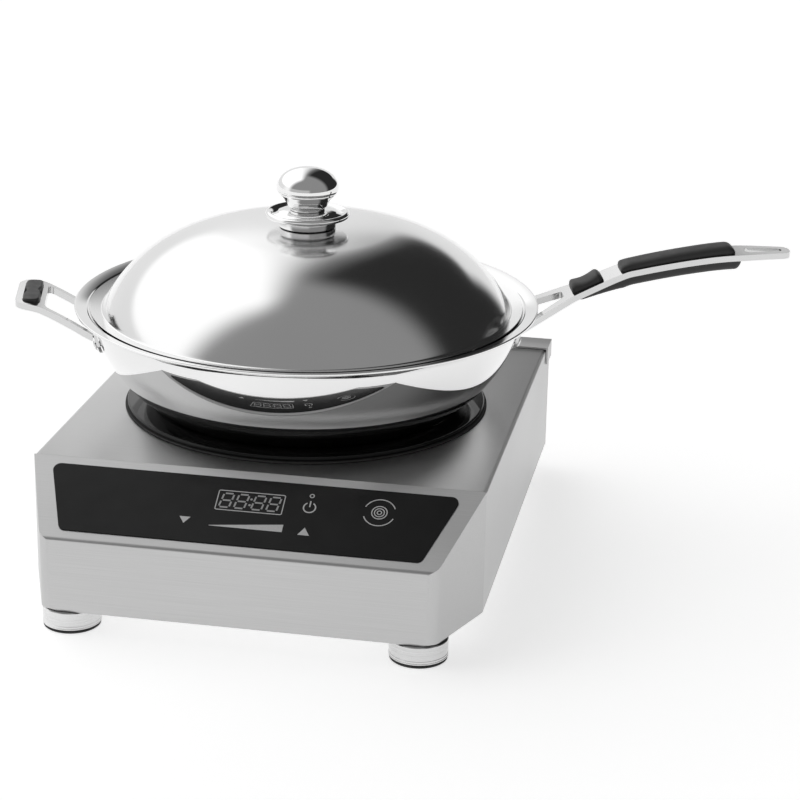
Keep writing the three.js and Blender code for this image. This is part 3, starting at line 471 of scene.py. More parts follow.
def extruded_aluminium():
    """Draw lines along the extrusion."""
    look = Look("aluminium", Metallic=1.0)
    lines = look.noise(1, 2, stretch=(1800, 12, 1800))
    look.shade(lines, (0.62, 0.63, 0.64), (0.74, 0.75, 0.76))
    look.link(look.spread(lines, 0.3, 0.45), look.shader.inputs["Roughness"])
    look.bump(lines, 0.3, 0.00003)
    return look.material


def copper_winding():
    """Enamelled litz strands laid in rings."""
    look = Look("copper_litz", Metallic=1.0)
    strands = look.noise(1, 3, stretch=(900, 900, 900))
    look.shade(strands, (0.42, 0.16, 0.07), (0.72, 0.34, 0.17))
    look.link(look.spread(strands, 0.3, 0.5), look.shader.inputs["Roughness"])
    look.bump(strands, 0.5, 0.0002)
    return look.material


def ferrite():
    """Dark sintered grain."""
    look = Look("ferrite", IOR=1.8)
    look.shade(look.noise(400, 4), grey(0.03), grey(0.06))
    look.link(look.spread(look.noise(150, 3), 0.5, 0.7), look.shader.inputs["Roughness"])
    look.bump(look.noise(1200, 4), 0.5, 0.0001)
    return look.material


LOOKS = {
    "satin_steel": satin_steel(),
    "turned_steel": turned_steel(),
    "mirror_steel": mirror_steel(),
    "black_glass": black_glass(),
    "label_film": label_film(),
    "grip_silicone": silicone(),
    "pad_rubber": rubber(),
    "black_plastic": moulded("black_plastic", 0.03),
    "grey_plastic": moulded("grey_plastic", 0.3),
    "circuit_board": circuit_board(),
    "aluminium": extruded_aluminium(),
    "copper_litz": copper_winding(),
    "ferrite": ferrite(),
}
PALE_INK = printed_ink("pale_ink", 0.62)
DIM_INK = printed_ink("dim_ink", 0.42)
LID_STEEL = mirror_steel("lid_steel", 0.14)
HANDLE_STEEL = mirror_steel("handle_steel", 0.12, 0.66)

for part in frame["record"]["subparts"]:
    node = frame["nodes"][part["node"]]
    node.data.materials.clear()
    node.data.materials.append(LOOKS[part["material_slot"]])

# ---------------------------------------------------------------- sheet housing

SHEET_FINISH = {"bevel": 0.35, "smooth": 20}
EDGE_ROUNDING = 0.3  # on the flat sheets that CAD draws


def front_block(inset, back_y, bottom_z):
    """The front housing's block, shrunk on every side by `inset`: its side view crossed with its plan."""
    fold_y = FRONT_TOP_Y - FRONT_DEPTH + inset
    drop = inset / math.cos(SLOPE)
    fold_z = FOLD_Z - drop + inset * math.tan(SLOPE)
    side_view = rounded(
        [
            (back_y, bottom_z),
            (back_y, TOP_Z - drop),
            (FRONT_TOP_Y, TOP_Z - drop),
            (fold_y, fold_z, FOLD_R - inset),
            (fold_y, bottom_z),
        ],
        steps=10,
    )
    chamfer = math.atan2((HOB_WIDTH - FRONT_WIDTH) / 2, FRONT_DEPTH)
    half = HOB_WIDTH / 2 - inset / math.cos(chamfer)
    front_half = half - (FRONT_TOP_Y - fold_y) * math.tan(chamfer)
    corner = FRONT_CORNER_R - inset
    plan = rounded(
        [
            (-half, back_y),
            (-half, FRONT_TOP_Y),
            (-front_half, fold_y, corner),
            (front_half, fold_y, corner),
            (half, FRONT_TOP_Y),
            (half, back_y),
        ],
        steps=20,
    )
    across = prism_across(side_view, -HOB_WIDTH, HOB_WIDTH)
    upright = prism(plan, bottom_z - 1, TOP_Z + 1)
    return common(across, upright)


DISPLAY = {"x": 1.3, "down": 27.8, "width": 50, "height": 18}
DISPLAY_CORNER_R = 1.5
WINDOW_MARGIN = 2  # the window in the sheet is wider and higher than the display
KEYS = {"power": (45.2, 27.5), "down": (-43.3, 48.3), "up": (45.3, 49.5)}  # across, and down the slope
KEY_HOLE_R = 4


def add_front_panel():
    """A folded shell with a window for the display and a hole for each key."""
    width, height = DISPLAY["width"] + WINDOW_MARGIN, DISPLAY["height"] + WINDOW_MARGIN
    opening = rectangle(width, height, DISPLAY_CORNER_R, DISPLAY["x"], -DISPLAY["down"])
    below, above = -4, 3
    window = prism(rounded(opening), below, above)
    drill = [(0, below), (KEY_HOLE_R, below), (KEY_HOLE_R, above), (0, above)]
    holes = [moved(lathe(drill, 32), x, -down) for x, down in KEYS.values()]
    outside = front_block(0, FRONT_TOP_Y, UNDERSIDE_Z)
    inside = front_block(SHEET, FRONT_TOP_Y + 1, UNDERSIDE_Z - 1)
    shell = cut(outside, inside)
    for tool in [window, *holes]:
        bmesh.ops.transform(tool, matrix=ONTO_SLOPE, verts=tool.verts)
        shell = cut(shell, tool)
    add_visual("front_panel", shell, HOB_PLACE, "hob", "satin_steel", **SHEET_FINISH)


def add_top_cover():
    """One sheet bent over the top and both sides, with the bowl's round hole."""

    def section(inset):
        bottom = UNDERSIDE_Z - (1 if inset else 0)
        half = HOB_WIDTH / 2 - inset
        top = TOP_Z - inset
        bend = COVER_BEND_R - inset
        return rounded([(-half, bottom), (half, bottom), (half, top, bend), (-half, top, bend)], steps=10)

    outer = prism_back(section(0), FRONT_TOP_Y + GAP, REAR_Y)
    inner = prism_back(section(SHEET), FRONT_TOP_Y - 1, REAR_Y + 1)
    below, above = TOP_Z - 6, TOP_Z + 6
    hole = lathe([(0, below), (COVER_HOLE_R, below), (COVER_HOLE_R, above), (0, above)])
    add_visual("top_cover", cut(outer, inner, hole), HOB_PLACE, "hob", "satin_steel", **SHEET_FINISH)


def soften_flat_cad(*nodes):
    """Flat CAD sheets keep their shape and get a small rounding on their edges."""
    for name in nodes:
        rounding = frame["nodes"][name].modifiers.new("rounding", "BEVEL")
        rounding.width = EDGE_ROUNDING * MM
        rounding.segments = 2
        rounding.limit_method = "ANGLE"
        rounding.angle_limit = math.radians(40)
        rounding.harden_normals = True


# ---------------------------------------------------------------- control label

FILM_TOP = 0.9  # the printed face above the sheet
FILM_CORNER_R = 5.5
INK = 0.03  # thickness of the print
POWER_SIGN = (45.2, -27.9)
COIL_SIGN = (96.3, -26.9)
FIGURE = {"width": 7.6, "height": 12.4, "slant": 0.16}


def on_film(name, outlines, ink):
    """Flat printed marks in one piece, each an outline in the sloped face's place."""
    bm = bmesh.new()
    for outline in outlines:
        mark = mesh_of(prism(outline, FILM_TOP, FILM_TOP + INK))
        bm.from_mesh(mark)
        bpy.data.meshes.remove(mark)
    add_piece(name, bm, SLOPE_PLACE, "hob", "label_film", ink)


def stroke(start, end, width):
    """A straight printed line as an outline."""
    start, end = Vector(start), Vector(end)
    side = (end - start).orthogonal().normalized() * width / 2
    return [tuple(start + side), tuple(end + side), tuple(end - side), tuple(start - side)]


def ring_strokes(centre, radius, width, start=0, end=360, steps=24):
    """A printed ring or arc, as short strokes end to end."""
    outer = arc(centre, radius + width / 2, start, end, steps)
    inner = arc(centre, radius - width / 2, start, end, steps)
    return [[outer[i], outer[i + 1], inner[i + 1], inner[i]] for i in range(steps)]


def frame_strokes(width, height, radius, x, y, line):
    """A rounded rectangle drawn as a line."""
    outer = rounded(rectangle(width, height, radius, x, y))
    inner = rounded(rectangle(width - 2 * line, height - 2 * line, radius - line, x, y))
    count = len(outer)
    return [[outer[i], outer[(i + 1) % count], inner[(i + 1) % count], inner[i]] for i in range(count)]


def seven_segments(x, y, width, height, slant):
    """One figure with all its bars, slanted to the right."""
    bar = 1.3
    gap = 0.9  # from each corner to the end of a bar
    up, out = height / 2, width / 2

    def lean(across, level):
        return (x + across + slant * level, y + level)

    bars = [stroke(lean(gap - out, level), lean(out - gap, level), bar) for level in (-up, 0, up)]
    for side in (-out, out):
        bars.append(stroke(lean(side, gap - up), lean(side, -gap), bar))
        bars.append(stroke(lean(side, gap), lean(side, up - gap), bar))
    return bars


def display_marks():
    """Four figures and the colon between them."""
    x, y = DISPLAY["x"], -DISPLAY["down"]
    marks = []
    for dot in ((x + 0.4, y + 2.6), (x, y - 2.6)):
        marks += ring_strokes(dot, 0.5, 0.9, steps=8)
    first, pitch, colon_room = x - 17.6, 11.2, 1.5
    for i in range(4):
        place = first + pitch * i + colon_room * (i > 1)
        marks += seven_segments(place, y, **FIGURE)
    return marks


def key_marks():
    """The power sign with its lamp, the two arrows and the wedge of the power level."""
    x, y = POWER_SIGN
    wedge = [(-24.5, -51.4), (29.4, -51.6), (29.4, -45), (-24.5, -51.0)]
    down_arrow = [(-47.4, -45.4), (-39.2, -45.4), (-43.3, -51.2)]
    up_arrow = [(41.0, -52.6), (49.6, -52.6), (45.3, -45.8)]
    marks = [wedge, down_arrow, up_arrow]
    marks += ring_strokes(POWER_SIGN, 4.4, 1.0, 120, 420)
    marks.append(stroke((x, y + 0.5), (x, y + 5.9), 1.0))
    marks += ring_strokes((x, y + 10.5), 1.5, 0.7)
    return marks


def coil_marks():
    """A generic sign of a coil: three rings between two arcs."""
    marks = []
    for start in (22, 202):
        marks += ring_strokes(COIL_SIGN, 11.6, 0.8, start, start + 136)
    for radius in (1.6, 3.6, 5.6):
        marks += ring_strokes(COIL_SIGN, radius, 0.8)
    return marks


def add_label():
    """The film on the sloped face, narrower at its lower edge, and all that is printed on it."""
    top, bottom = -7.2, -66.6
    top_half, bottom_half = 153.8, 132.9
    corners = [(-bottom_half, bottom), (bottom_half, bottom), (top_half, top), (-top_half, top)]
    outline = rounded([(*corner, FILM_CORNER_R) for corner in corners], steps=12)
    add_visual("control_film", prism(outline, GAP, FILM_TOP), SLOPE_PLACE, "hob", "label_film", bevel=0.15)

    x, y = DISPLAY["x"], -DISPLAY["down"]
    border = frame_strokes(DISPLAY["width"], DISPLAY["height"], DISPLAY_CORNER_R, x, y, 0.7)
    on_film("printed_marks", border + key_marks(), PALE_INK)
    on_film("display_figures", display_marks(), DIM_INK)
    on_film("printed_coil_sign", coil_marks(), PALE_INK)


# ---------------------------------------------------------------- feet, bowl and seal


def foot_profile():
    """Turned foot with two grooves near its lower edge."""
    profile = [(0, FOOT_BOTTOM_Z), (FOOT_R - 0.8, FOOT_BOTTOM_Z), (FOOT_R, FOOT_BOTTOM_Z + 0.6)]
    groove_r = FOOT_R - 0.2
    for z in (3.6, 5.4):
        profile += [(FOOT_R, z), (groove_r, z + 0.2), (groove_r, z + 0.4), (FOOT_R, z + 0.6)]
    return profile + [(FOOT_R, FOOT_TOP_Z - 0.5), (FOOT_R - 0.5, FOOT_TOP_Z), (0, FOOT_TOP_Z)]


def pad_profile():
    """Rubber pad with a soft lower edge."""
    return [
        (0, 0),
        (FOOT_R - 1.2, 0),
        (FOOT_R - 0.5, 0.6),
        (FOOT_R - 0.4, PAD_HEIGHT - 0.3),
        (FOOT_R - 0.9, PAD_HEIGHT),
        (0, PAD_HEIGHT),
    ]


def add_feet():
    """Four feet, each where its CAD node stands."""
    for end in ("front", "rear"):
        for side in ("left", "right"):
            low_corner, high_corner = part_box(f"foot_{end}_{side}")
            x, y = [(low_corner[i] + high_corner[i]) / 2 for i in (0, 1)]
            place = Matrix.Translation((x, y, 0)) @ Matrix.Scale(MM, 4)
            foot = lathe(foot_profile(), SMALL_LATHE_STEPS)
            add_visual(f"foot_{end}_{side}", foot, place, "hob", "turned_steel")
            pad = lathe(pad_profile(), SMALL_LATHE_STEPS)
            add_visual(f"foot_pad_{end}_{side}", pad, place, "hob", "pad_rubber")


def ellipse_points(belly, centre_z, depth, from_z, to_z, count):
    """(radius, z) points on an ellipse about the cooking axis."""
    start = math.asin((from_z - centre_z) / depth)
    end = math.asin((to_z - centre_z) / depth)
    points = []
    for i in range(count + 1):
        angle = start + (end - start) * i / count
        points.append((max(belly * math.cos(angle), 0), centre_z + depth * math.sin(angle)))
    return points


def add_bowl():
    """A glass bowl parallel to the pan, its flat rim on a ring of silicone."""
    belly = WOK_BELLY_R + 1.5
    depth = WOK_DEPTH + BOWL_CLEARANCE
    bottom = WOK_BELLY_Z - depth
    seal_bottom = TOP_Z + GAP
    glass_bottom = seal_bottom + SEAL_HEIGHT + GAP
    inner = ellipse_points(belly, WOK_BELLY_Z, depth, bottom, RIM_TOP_Z - 1.5, 40)
    outer = ellipse_points(belly + GLASS, WOK_BELLY_Z, depth + GLASS, bottom - GLASS, TOP_Z - 1.5, 40)
    throat = inner[-1][0]
    rim = rounded(
        [
            (COVER_HOLE_R - 3, TOP_Z - 1),
            (COVER_HOLE_R - 3, glass_bottom),
            (RIM_R, glass_bottom, 0.8),
            (RIM_R, RIM_TOP_Z, 1.4),
            (throat + 1.5, RIM_TOP_Z, 1.2),
            (throat + 0.1, RIM_TOP_Z - 1.6),
        ],
        closed=False,
    )
    add_visual("glass_bowl", lathe([*outer, *rim, *inner[::-1]]), HOB_PLACE, "hob", "black_glass")

    seal_top = seal_bottom + SEAL_HEIGHT
    seal_inner, seal_outer = COVER_HOLE_R + 1, RIM_R + 1.8
    seal = rounded(
        [
            (seal_inner, seal_bottom),
            (seal_outer, seal_bottom),
            (seal_outer, seal_top, 0.8),
            (seal_inner, seal_top),
        ]
    )
    add_visual("bowl_seal", lathe(seal), HOB_PLACE, "hob", "pad_rubber")


# ---------------------------------------------------------------- wok pan and its handles


def wok_wall_radius(z):
    """Outer radius of the pan at a height."""
    return WOK_BELLY_R * math.sqrt(1 - ((z - WOK_BELLY_Z) / WOK_DEPTH) ** 2)


def add_wok_pan():
    """A deep round pan whose rim slopes up and outwards, with a step near its edge."""
    flange_z = WOK_RIM_Z - WOK_FLANGE_DROP
    bottom = WOK_BELLY_Z - WOK_DEPTH
    inner_r, inner_depth = WOK_BELLY_R - WOK_WALL, WOK_DEPTH - WOK_WALL
    outer = ellipse_points(WOK_BELLY_R, WOK_BELLY_Z, WOK_DEPTH, bottom, flange_z - 3.4, 72)
    inner = ellipse_points(inner_r, WOK_BELLY_Z, inner_depth, bottom + WOK_WALL, flange_z - 2.2, 72)
    rim = rounded(
        [
            (WOK_BELLY_R - 0.3, flange_z - 3.0),
            (WOK_BELLY_R, flange_z - 1.7, 1.2),
            (WOK_RIM_R - 0.4, WOK_RIM_Z - 2.4, 0.6),
            (WOK_RIM_R + 0.2, WOK_RIM_Z, 0.8),
            (WOK_RIM_R - 9.6, WOK_RIM_Z - 2.7, 1.0),
            (WOK_RIM_R - 10.6, WOK_RIM_Z - 3.6, 1.0),
            (inner_r + 0.2, flange_z, 1.4),
            (inner_r - 0.2, flange_z - 1.9),
        ],
        closed=False,
    )
    pan = lathe([*outer, *rim, *inner[::-1]], FINE_LATHE_STEPS)
    add_visual("wok_pan", pan, WOK_PLACE, "wok", "mirror_steel", smooth=40)


def spline(points, steps_per_span=12):
    """Points on a Catmull-Rom curve through (radius, z) points."""
    padded = [points[0], *points, points[-1]]
    curve = []
    for before, start, end, after in zip(padded, padded[1:], padded[2:], padded[3:]):
        before, start, end, after = Vector(before), Vector(start), Vector(end), Vector(after)
        for step in range(steps_per_span):
            t = step / steps_per_span
            linear = end - before
            square = 2 * before - 5 * start + 4 * end - after
            cubic = 3 * start - before - 3 * end + after
            curve.append(0.5 * (2 * start + linear * t + square * t * t + cubic * t**3))
    curve.append(Vector(points[-1]))
    return curve


# Side views of both handles, as (distance from the cooking axis, height).
HANDLE_CURVE = spline(
    [
        (164, 180),
        (181, 188.5),
        (210, 202.5),
        (245, 218.5),
        (262, 223.3),
        (300, 230.2),
        (335, 234.2),
        (382, 234.8),
    ]
)
HELPER_CURVE = spline([(163, 176.5), (172, 181.5), (184, 189), (203, 199.5), (214, 202.8), (225, 203.5)])
HANDLE_THICKNESS = 4.8
HANDLE_HALF_WIDTH = 14.5
GRIP_HALF_WIDTH = 11.4
HELPER_THICKNESS = 5
ROOT_SPREAD = 29  # from the handle's middle line to each rivet
HELPER_SPREAD = 31
BELOW_HANDLES, ABOVE_HANDLES = 150, 260  # heights that clear both handles
TAB = {"half_width": 7.3, "top_z": 190.3, "bottom_z": 165.7, "gap": 0.7, "thickness": 2.4, "rivet_z": 172.5}


def normal_at(curve, i):
    """The upward normal of a curve at its point i."""
    along = (curve[min(i + 1, len(curve) - 1)] - curve[max(i - 1, 0)]).normalized()
    return Vector((-along.y, along.x))


def thicken(curve, thickness):
    """The outline of a plate whose side view follows a curve."""
    lower = [tuple(point - normal_at(curve, i) * thickness / 2) for i, point in enumerate(curve)]
    upper = [tuple(point + normal_at(curve, i) * thickness / 2) for i, point in enumerate(curve)]
    return lower + upper[::-1]


def wall_tab(spread):
    """A strip with a round lower end that follows the pan's wall."""
    round_r = 7
    rows, columns = 16, 6
    turn = math.asin(spread / wok_wall_radius(170))
    height = TAB["top_z"] - TAB["bottom_z"]
    bm = bmesh.new()
    layers = []
    for offset in (TAB["gap"], TAB["gap"] + TAB["thickness"]):
        grid = []
        for row in range(rows + 1):
            rise = height * (row / rows) ** 1.6  # closer rows round the lower end
            z = TAB["bottom_z"] + rise
            shrink = round_r - math.sqrt(round_r**2 - (round_r - rise) ** 2) if rise < round_r else 0
            half = TAB["half_width"] - shrink
            radius = wok_wall_radius(z) + offset
            line = []
            for column in range(columns + 1):
                angle = turn + half * (2 * column / columns - 1) / radius
                line.append(bm.verts.new((radius * math.cos(angle), radius * math.sin(angle), z)))
            grid.append(line)
        layers.append(grid)
    back, front = layers
    for grid in layers:
        for lower, upper in zip(grid, grid[1:]):
            for i in range(columns):
                bm.faces.new((lower[i], lower[i + 1], upper[i + 1], upper[i]))
    for i in range(rows):
        for side in (0, columns):
            bm.faces.new((back[i][side], back[i + 1][side], front[i + 1][side], front[i][side]))
    for i in range(columns):
        for row in (0, rows):
            bm.faces.new((back[row][i], back[row][i + 1], front[row][i + 1], front[row][i]))
    bmesh.ops.recalc_face_normals(bm, faces=bm.faces)
    return bm


def add_tabs(handle, place, spread):
    """The two tabs that a handle ends in, welded to its root."""
    for side, name in ((1, "left"), (-1, "right")):
        tab = wall_tab(side * spread)
        add_piece(f"{handle}_tab_{name}", tab, place, "wok", "mirror_steel", HANDLE_STEEL, bevel=0.5)


def rivet_profile():
    """A low head inside the pan, a domed head outside and the shank between them, along the axis."""
    head_r, head_height, shank_r = 4, 1.6, 2.2
    inside = -WOK_WALL - 1.5
    outside = TAB["gap"] + TAB["thickness"] + GAP
    dome = []
    for degrees in range(0, 90, 10):
        angle = math.radians(degrees)
        dome.append((head_r * math.cos(angle), outside + head_height * math.sin(angle)))
    low_head = [(0, inside - 1.2), (3, inside - 1.1), (head_r, inside)]
    return [*low_head, (shank_r, inside), (shank_r, outside), *dome, (0, outside + head_height)]


def add_rivets(handle, place, spread):
    """Two rivets, each square to the sloping wall, through the wall and a tab."""
    z = TAB["rivet_z"]
    radius = wok_wall_radius(z)
    lean = math.atan2(wok_wall_radius(z + 5) - wok_wall_radius(z - 5), 10)
    for side, name in ((1, "left"), (-1, "right")):
        rivet = turned_down(lathe(rivet_profile(), 48))
        bmesh.ops.rotate(rivet, matrix=Matrix.Rotation(lean, 3, "Y"), verts=rivet.verts)
        moved(rivet, radius, 0, z)
        turn = math.asin(side * spread / radius)
        bmesh.ops.rotate(rivet, matrix=Matrix.Rotation(turn, 3, "Z"), verts=rivet.verts)
        add_visual(f"{handle}_rivet_{name}", rivet, place, "wok", "turned_steel")


def add_long_handle():
    """A curved plate with a forked root and a pointed hanging slot."""
    root_r, cross_r, tip_r = 166.3, 202, 381.5
    spread, arm, half = ROOT_SPREAD, 3.6, HANDLE_HALF_WIDTH
    front_edge = [
        (root_r, -spread - arm),
        (cross_r + 8, -half - 1, 20),
        (250, -half + 0.5, 60),
        (342, -half, 60),
        (tip_r, -8.5, 8),
    ]
    rear_edge = [(corner[0], -corner[1], *corner[2:]) for corner in front_edge[::-1]]
    notch = [(root_r, spread - arm), (cross_r, 7, 3), (cross_r, -7, 3), (root_r, -spread + arm)]
    plan = prism(rounded(front_edge + rear_edge + notch, 10), BELOW_HANDLES, ABOVE_HANDLES)
    band = prism_back(thicken(HANDLE_CURVE, HANDLE_THICKNESS), -40, 40)
    slot_corners = [(345, -6.5, 5), (375, -3, 2.8), (375, 3, 2.8), (345, 6.5, 5)]
    slot = prism(rounded(slot_corners, 8), BELOW_HANDLES, ABOVE_HANDLES)
    handle = cut(common(band, plan), slot)
    add_visual("long_handle", handle, WOK_PLACE, "wok", "mirror_steel", material=HANDLE_STEEL, bevel=1.3)
    add_tabs("long_handle", WOK_PLACE, ROOT_SPREAD)
    add_rivets("long_handle", WOK_PLACE, ROOT_SPREAD)


def soft_pad(from_r, to_r, height, round_r, below=False):
    """A pad on the long handle with a crowned section; its height depends on the share of its length."""
    curve = [p for p in spline([tuple(p) for p in HANDLE_CURVE], 8) if from_r <= p.x <= to_r]
    last = len(curve) - 1
    length = (curve[-1] - curve[0]).length
    near = HANDLE_THICKNESS / 2 + GAP
    around = 20
    squareness = 0.55
    bm = bmesh.new()
    rings = []
    for i, centre in enumerate(curve):
        share = i / last
        from_end = min(share, 1 - share) * length
        swell = math.sqrt(max(1 - max(1 - from_end / round_r, 0) ** 2, 0.02))
        outwards = normal_at(curve, i) * (-1 if below else 1)
        half = GRIP_HALF_WIDTH - round_r * (1 - swell)
        ring = []
        for k in range(around + 1):
            angle = math.pi * k / around
            out = near + height(share) * swell * math.sin(angle) ** squareness
            wide = math.copysign(abs(math.cos(angle)) ** squareness, math.cos(angle)) * half
            point = centre + outwards * out
            ring.append(bm.verts.new((point.x, wide, point.y)))
        rings.append(ring)
    for first, second in zip(rings, rings[1:]):
        for k in range(around):
            bm.faces.new((first[k], first[k + 1], second[k + 1], second[k]))
        bm.faces.new((first[0], second[0], second[-1], first[-1]))
    bm.faces.new(rings[0])
    bm.faces.new(rings[-1])
    bmesh.ops.recalc_face_normals(bm, faces=bm.faces)
    return bm


def add_grips():
    """The saddle for the thumb and the long grip, above and below the handle's plate."""
    pads = {
        "thumb_pad": soft_pad(209.5, 234, lambda share: 6.4 - 1.9 * math.sin(math.pi * share) ** 2, 4.5),
        "upper_grip": soft_pad(247, 337, lambda share: 4.4 + 1.4 * share, 5),
        "lower_grip": soft_pad(211, 342, lambda share: 8.4 * min(1, 0.3 + 3 * share), 4, below=True),
    }
    for name, grip in pads.items():
        add_visual(name, grip, WOK_PLACE, "wok", "grip_silicone", smooth=60)


def add_helper_handle():
    """A short loop of plate opposite the long handle, with a waisted grip in its end bar."""
    root_r, tip_r, bar_r, arm = 165.8, 225, 202.5, 3
    outer = HELPER_SPREAD + arm
    inner = outer - 2 * arm
    outline = [
        (root_r, -outer),
        (tip_r, -outer, 14),
        (tip_r, outer, 14),
        (root_r, outer),
        (root_r, inner),
        (bar_r, inner, 5),
        (bar_r, -inner, 5),
        (root_r, -inner),
    ]
    plan = prism(rounded(outline, 10), BELOW_HANDLES, ABOVE_HANDLES)
    hole_corners = [(206, -27, 5), (219.6, -27, 5), (219.6, 27, 5), (206, 27, 5)]
    hole = prism(rounded(hole_corners, 8), BELOW_HANDLES, ABOVE_HANDLES)
    band = prism_back(thicken(HELPER_CURVE, HELPER_THICKNESS), -50, 50)
    handle = cut(common(band, plan), hole)
    add_visual("helper_handle", handle, HELPER_PLACE, "wok", "mirror_steel", material=HANDLE_STEEL, bevel=1.2)
    add_tabs("helper", HELPER_PLACE, HELPER_SPREAD)
    add_rivets("helper", HELPER_PLACE, HELPER_SPREAD)

    near, far, end = 206.3, 219.3, 26.7
    waist = [
        (near, -end, 4.6),
        (far, -end, 4.6),
        (far, -9, 6),
        (far - 1.9, 0, 9),
        (far, 9, 6),
        (far, end, 4.6),
        (near, end, 4.6),
        (near, 9, 6),
        (near + 1.9, 0, 9),
        (near, -9, 6),
    ]
    grip_bottom, grip_top = 198, 207.4
    grip = prism(rounded(waist, 8), grip_bottom, grip_top)
    add_visual("helper_grip", grip, HELPER_PLACE, "wok", "grip_silicone", bevel=1.4, smooth=50)


# ---------------------------------------------------------------- lid and knob


def dome_profile(inset, inner_r):
    """One face of the dome: a brim parallel to the pan's rim, a round shoulder, a nearly flat crown."""
    edge = math.asin(LID_CROWN_EDGE / LID_CROWN_ARC)
    crown_z = LID_CROWN_Z - LID_CROWN_ARC
    reach = LID_CROWN_ARC - LID_SHOULDER_ARC
    shoulder_x, shoulder_z = reach * math.sin(edge), crown_z + reach * math.cos(edge)
    shoulder_r, crown_r = LID_SHOULDER_ARC - inset, LID_CROWN_ARC - inset
    slope = math.atan2(WOK_FLANGE_DROP, WOK_RIM_R - WOK_FLANGE_R)
    brim_lift = (GAP + LID_WALL - inset) / math.cos(slope)
    brim_z = WOK_RIM_Z - (WOK_RIM_R - LID_BRIM_R) * math.tan(slope) + brim_lift
    above = (brim_z - shoulder_z) * math.cos(slope) - (LID_BRIM_R - shoulder_x) * math.sin(slope)
    at_brim = math.degrees(slope + math.asin(above / shoulder_r))
    handover = 90 - math.degrees(edge)
    at_hole = 90 - math.degrees(math.asin(inner_r / crown_r))
    shoulder = arc((shoulder_x, shoulder_z), shoulder_r, at_brim, handover, 50)
    crown = arc((0, crown_z), crown_r, handover, at_hole, 20)
    fold = (*shoulder[0], 1.2)
    return rounded([(LID_BRIM_R, brim_z), fold, *shoulder[1:], *crown[1:]], closed=False)


def add_lid():
    """A spun dome with a round edge and a hole for the knob's screw."""
    outer = dome_profile(0, KNOB_HOLE_R)
    inner = dome_profile(LID_WALL, KNOB_HOLE_R)
    edge = arc((LID_BRIM_R, (outer[0][1] + inner[0][1]) / 2), 0.4, -60, 60, 6)
    dome = lathe([*edge, *outer[1:], *inner[:0:-1]], FINE_LATHE_STEPS)
    add_visual("lid_dome", dome, HOB_PLACE, "lid", "mirror_steel", material=LID_STEEL, smooth=40)


def knob_cap(radius, bottom, top):
    """The ball's upper half, a slightly squared quarter ellipse from its side to its top."""
    squareness = 0.92
    points = []
    for i in range(49):
        angle = math.radians(90 * i / 48)
        out = radius * math.cos(angle) ** squareness
        points.append((out, bottom + (top - bottom) * math.sin(angle) ** squareness))
    return points


def add_knob():
    """A base ring, a flange with a rolled edge and a ball with a crease, all on one screw."""
    bottom = LID_CROWN_Z + GAP
    base_top = LID_CROWN_Z + 6.5
    flange_top = LID_CROWN_Z + 13.4
    crease_z = LID_CROWN_Z + 25.6
    cap_z = LID_CROWN_Z + 30
    top = LID_CROWN_Z + 46.3
    bore_top = flange_top + 12
    hole = KNOB_HOLE_R
    base = rounded([(hole, bottom), (22.3, bottom, 0.8), (22.7, base_top - GAP, 1.4), (hole, base_top - GAP)])
    flange = [
        (hole, base_top),
        (20, base_top),
        *arc((30.4, base_top + 3.4), 2.3, -90, 120, 18),
        *arc((29.2, base_top + 12.6), 9.6, -100, -135, 8),
        (17.5, flange_top - GAP),
        (hole, flange_top - GAP),
    ]
    ball = [
        (0, bore_top),
        (hole, bore_top),
        (hole, flange_top),
        (13.6, flange_top),
        (13.6, flange_top + 2.2),
        (15.2, flange_top + 3.0),
        (18.6, crease_z - 3.2),
        (21.5, crease_z),
        (21.3, crease_z + 0.5),
        (22.6, crease_z + 1.1),
        *arc((20.9, cap_z), 3.2, -58, -4, 8),
        *knob_cap(24.1, cap_z, top)[1:-1],
        (0, top),
    ]
    for name, profile in (("knob_base", base), ("knob_flange", flange), ("knob_ball", ball)):
        add_visual(name, lathe(profile, SMALL_LATHE_STEPS), HOB_PLACE, "lid", "mirror_steel", smooth=40)


# ---------------------------------------------------------------- floor, light and camera


def add_floor():
    """A plain pale floor that fades into the white background."""
    bm = bmesh.new()
    bmesh.ops.create_grid(bm, x_segments=1, y_segments=1, size=12)
    mesh = mesh_of(bm, "floor")
    look = Look("floor", Roughness=0.7, Specular_IOR_Level=0.1, Emission_Strength=0.62)
    look.shade(look.noise(3, 2), grey(0.80), grey(0.82))
    look.shader.inputs["Emission Color"].default_value = (1, 1, 1, 1)
    mesh.materials.append(look.material)
    floor = bpy.data.objects.new("floor", mesh)
    bpy.context.scene.collection.objects.link(floor)


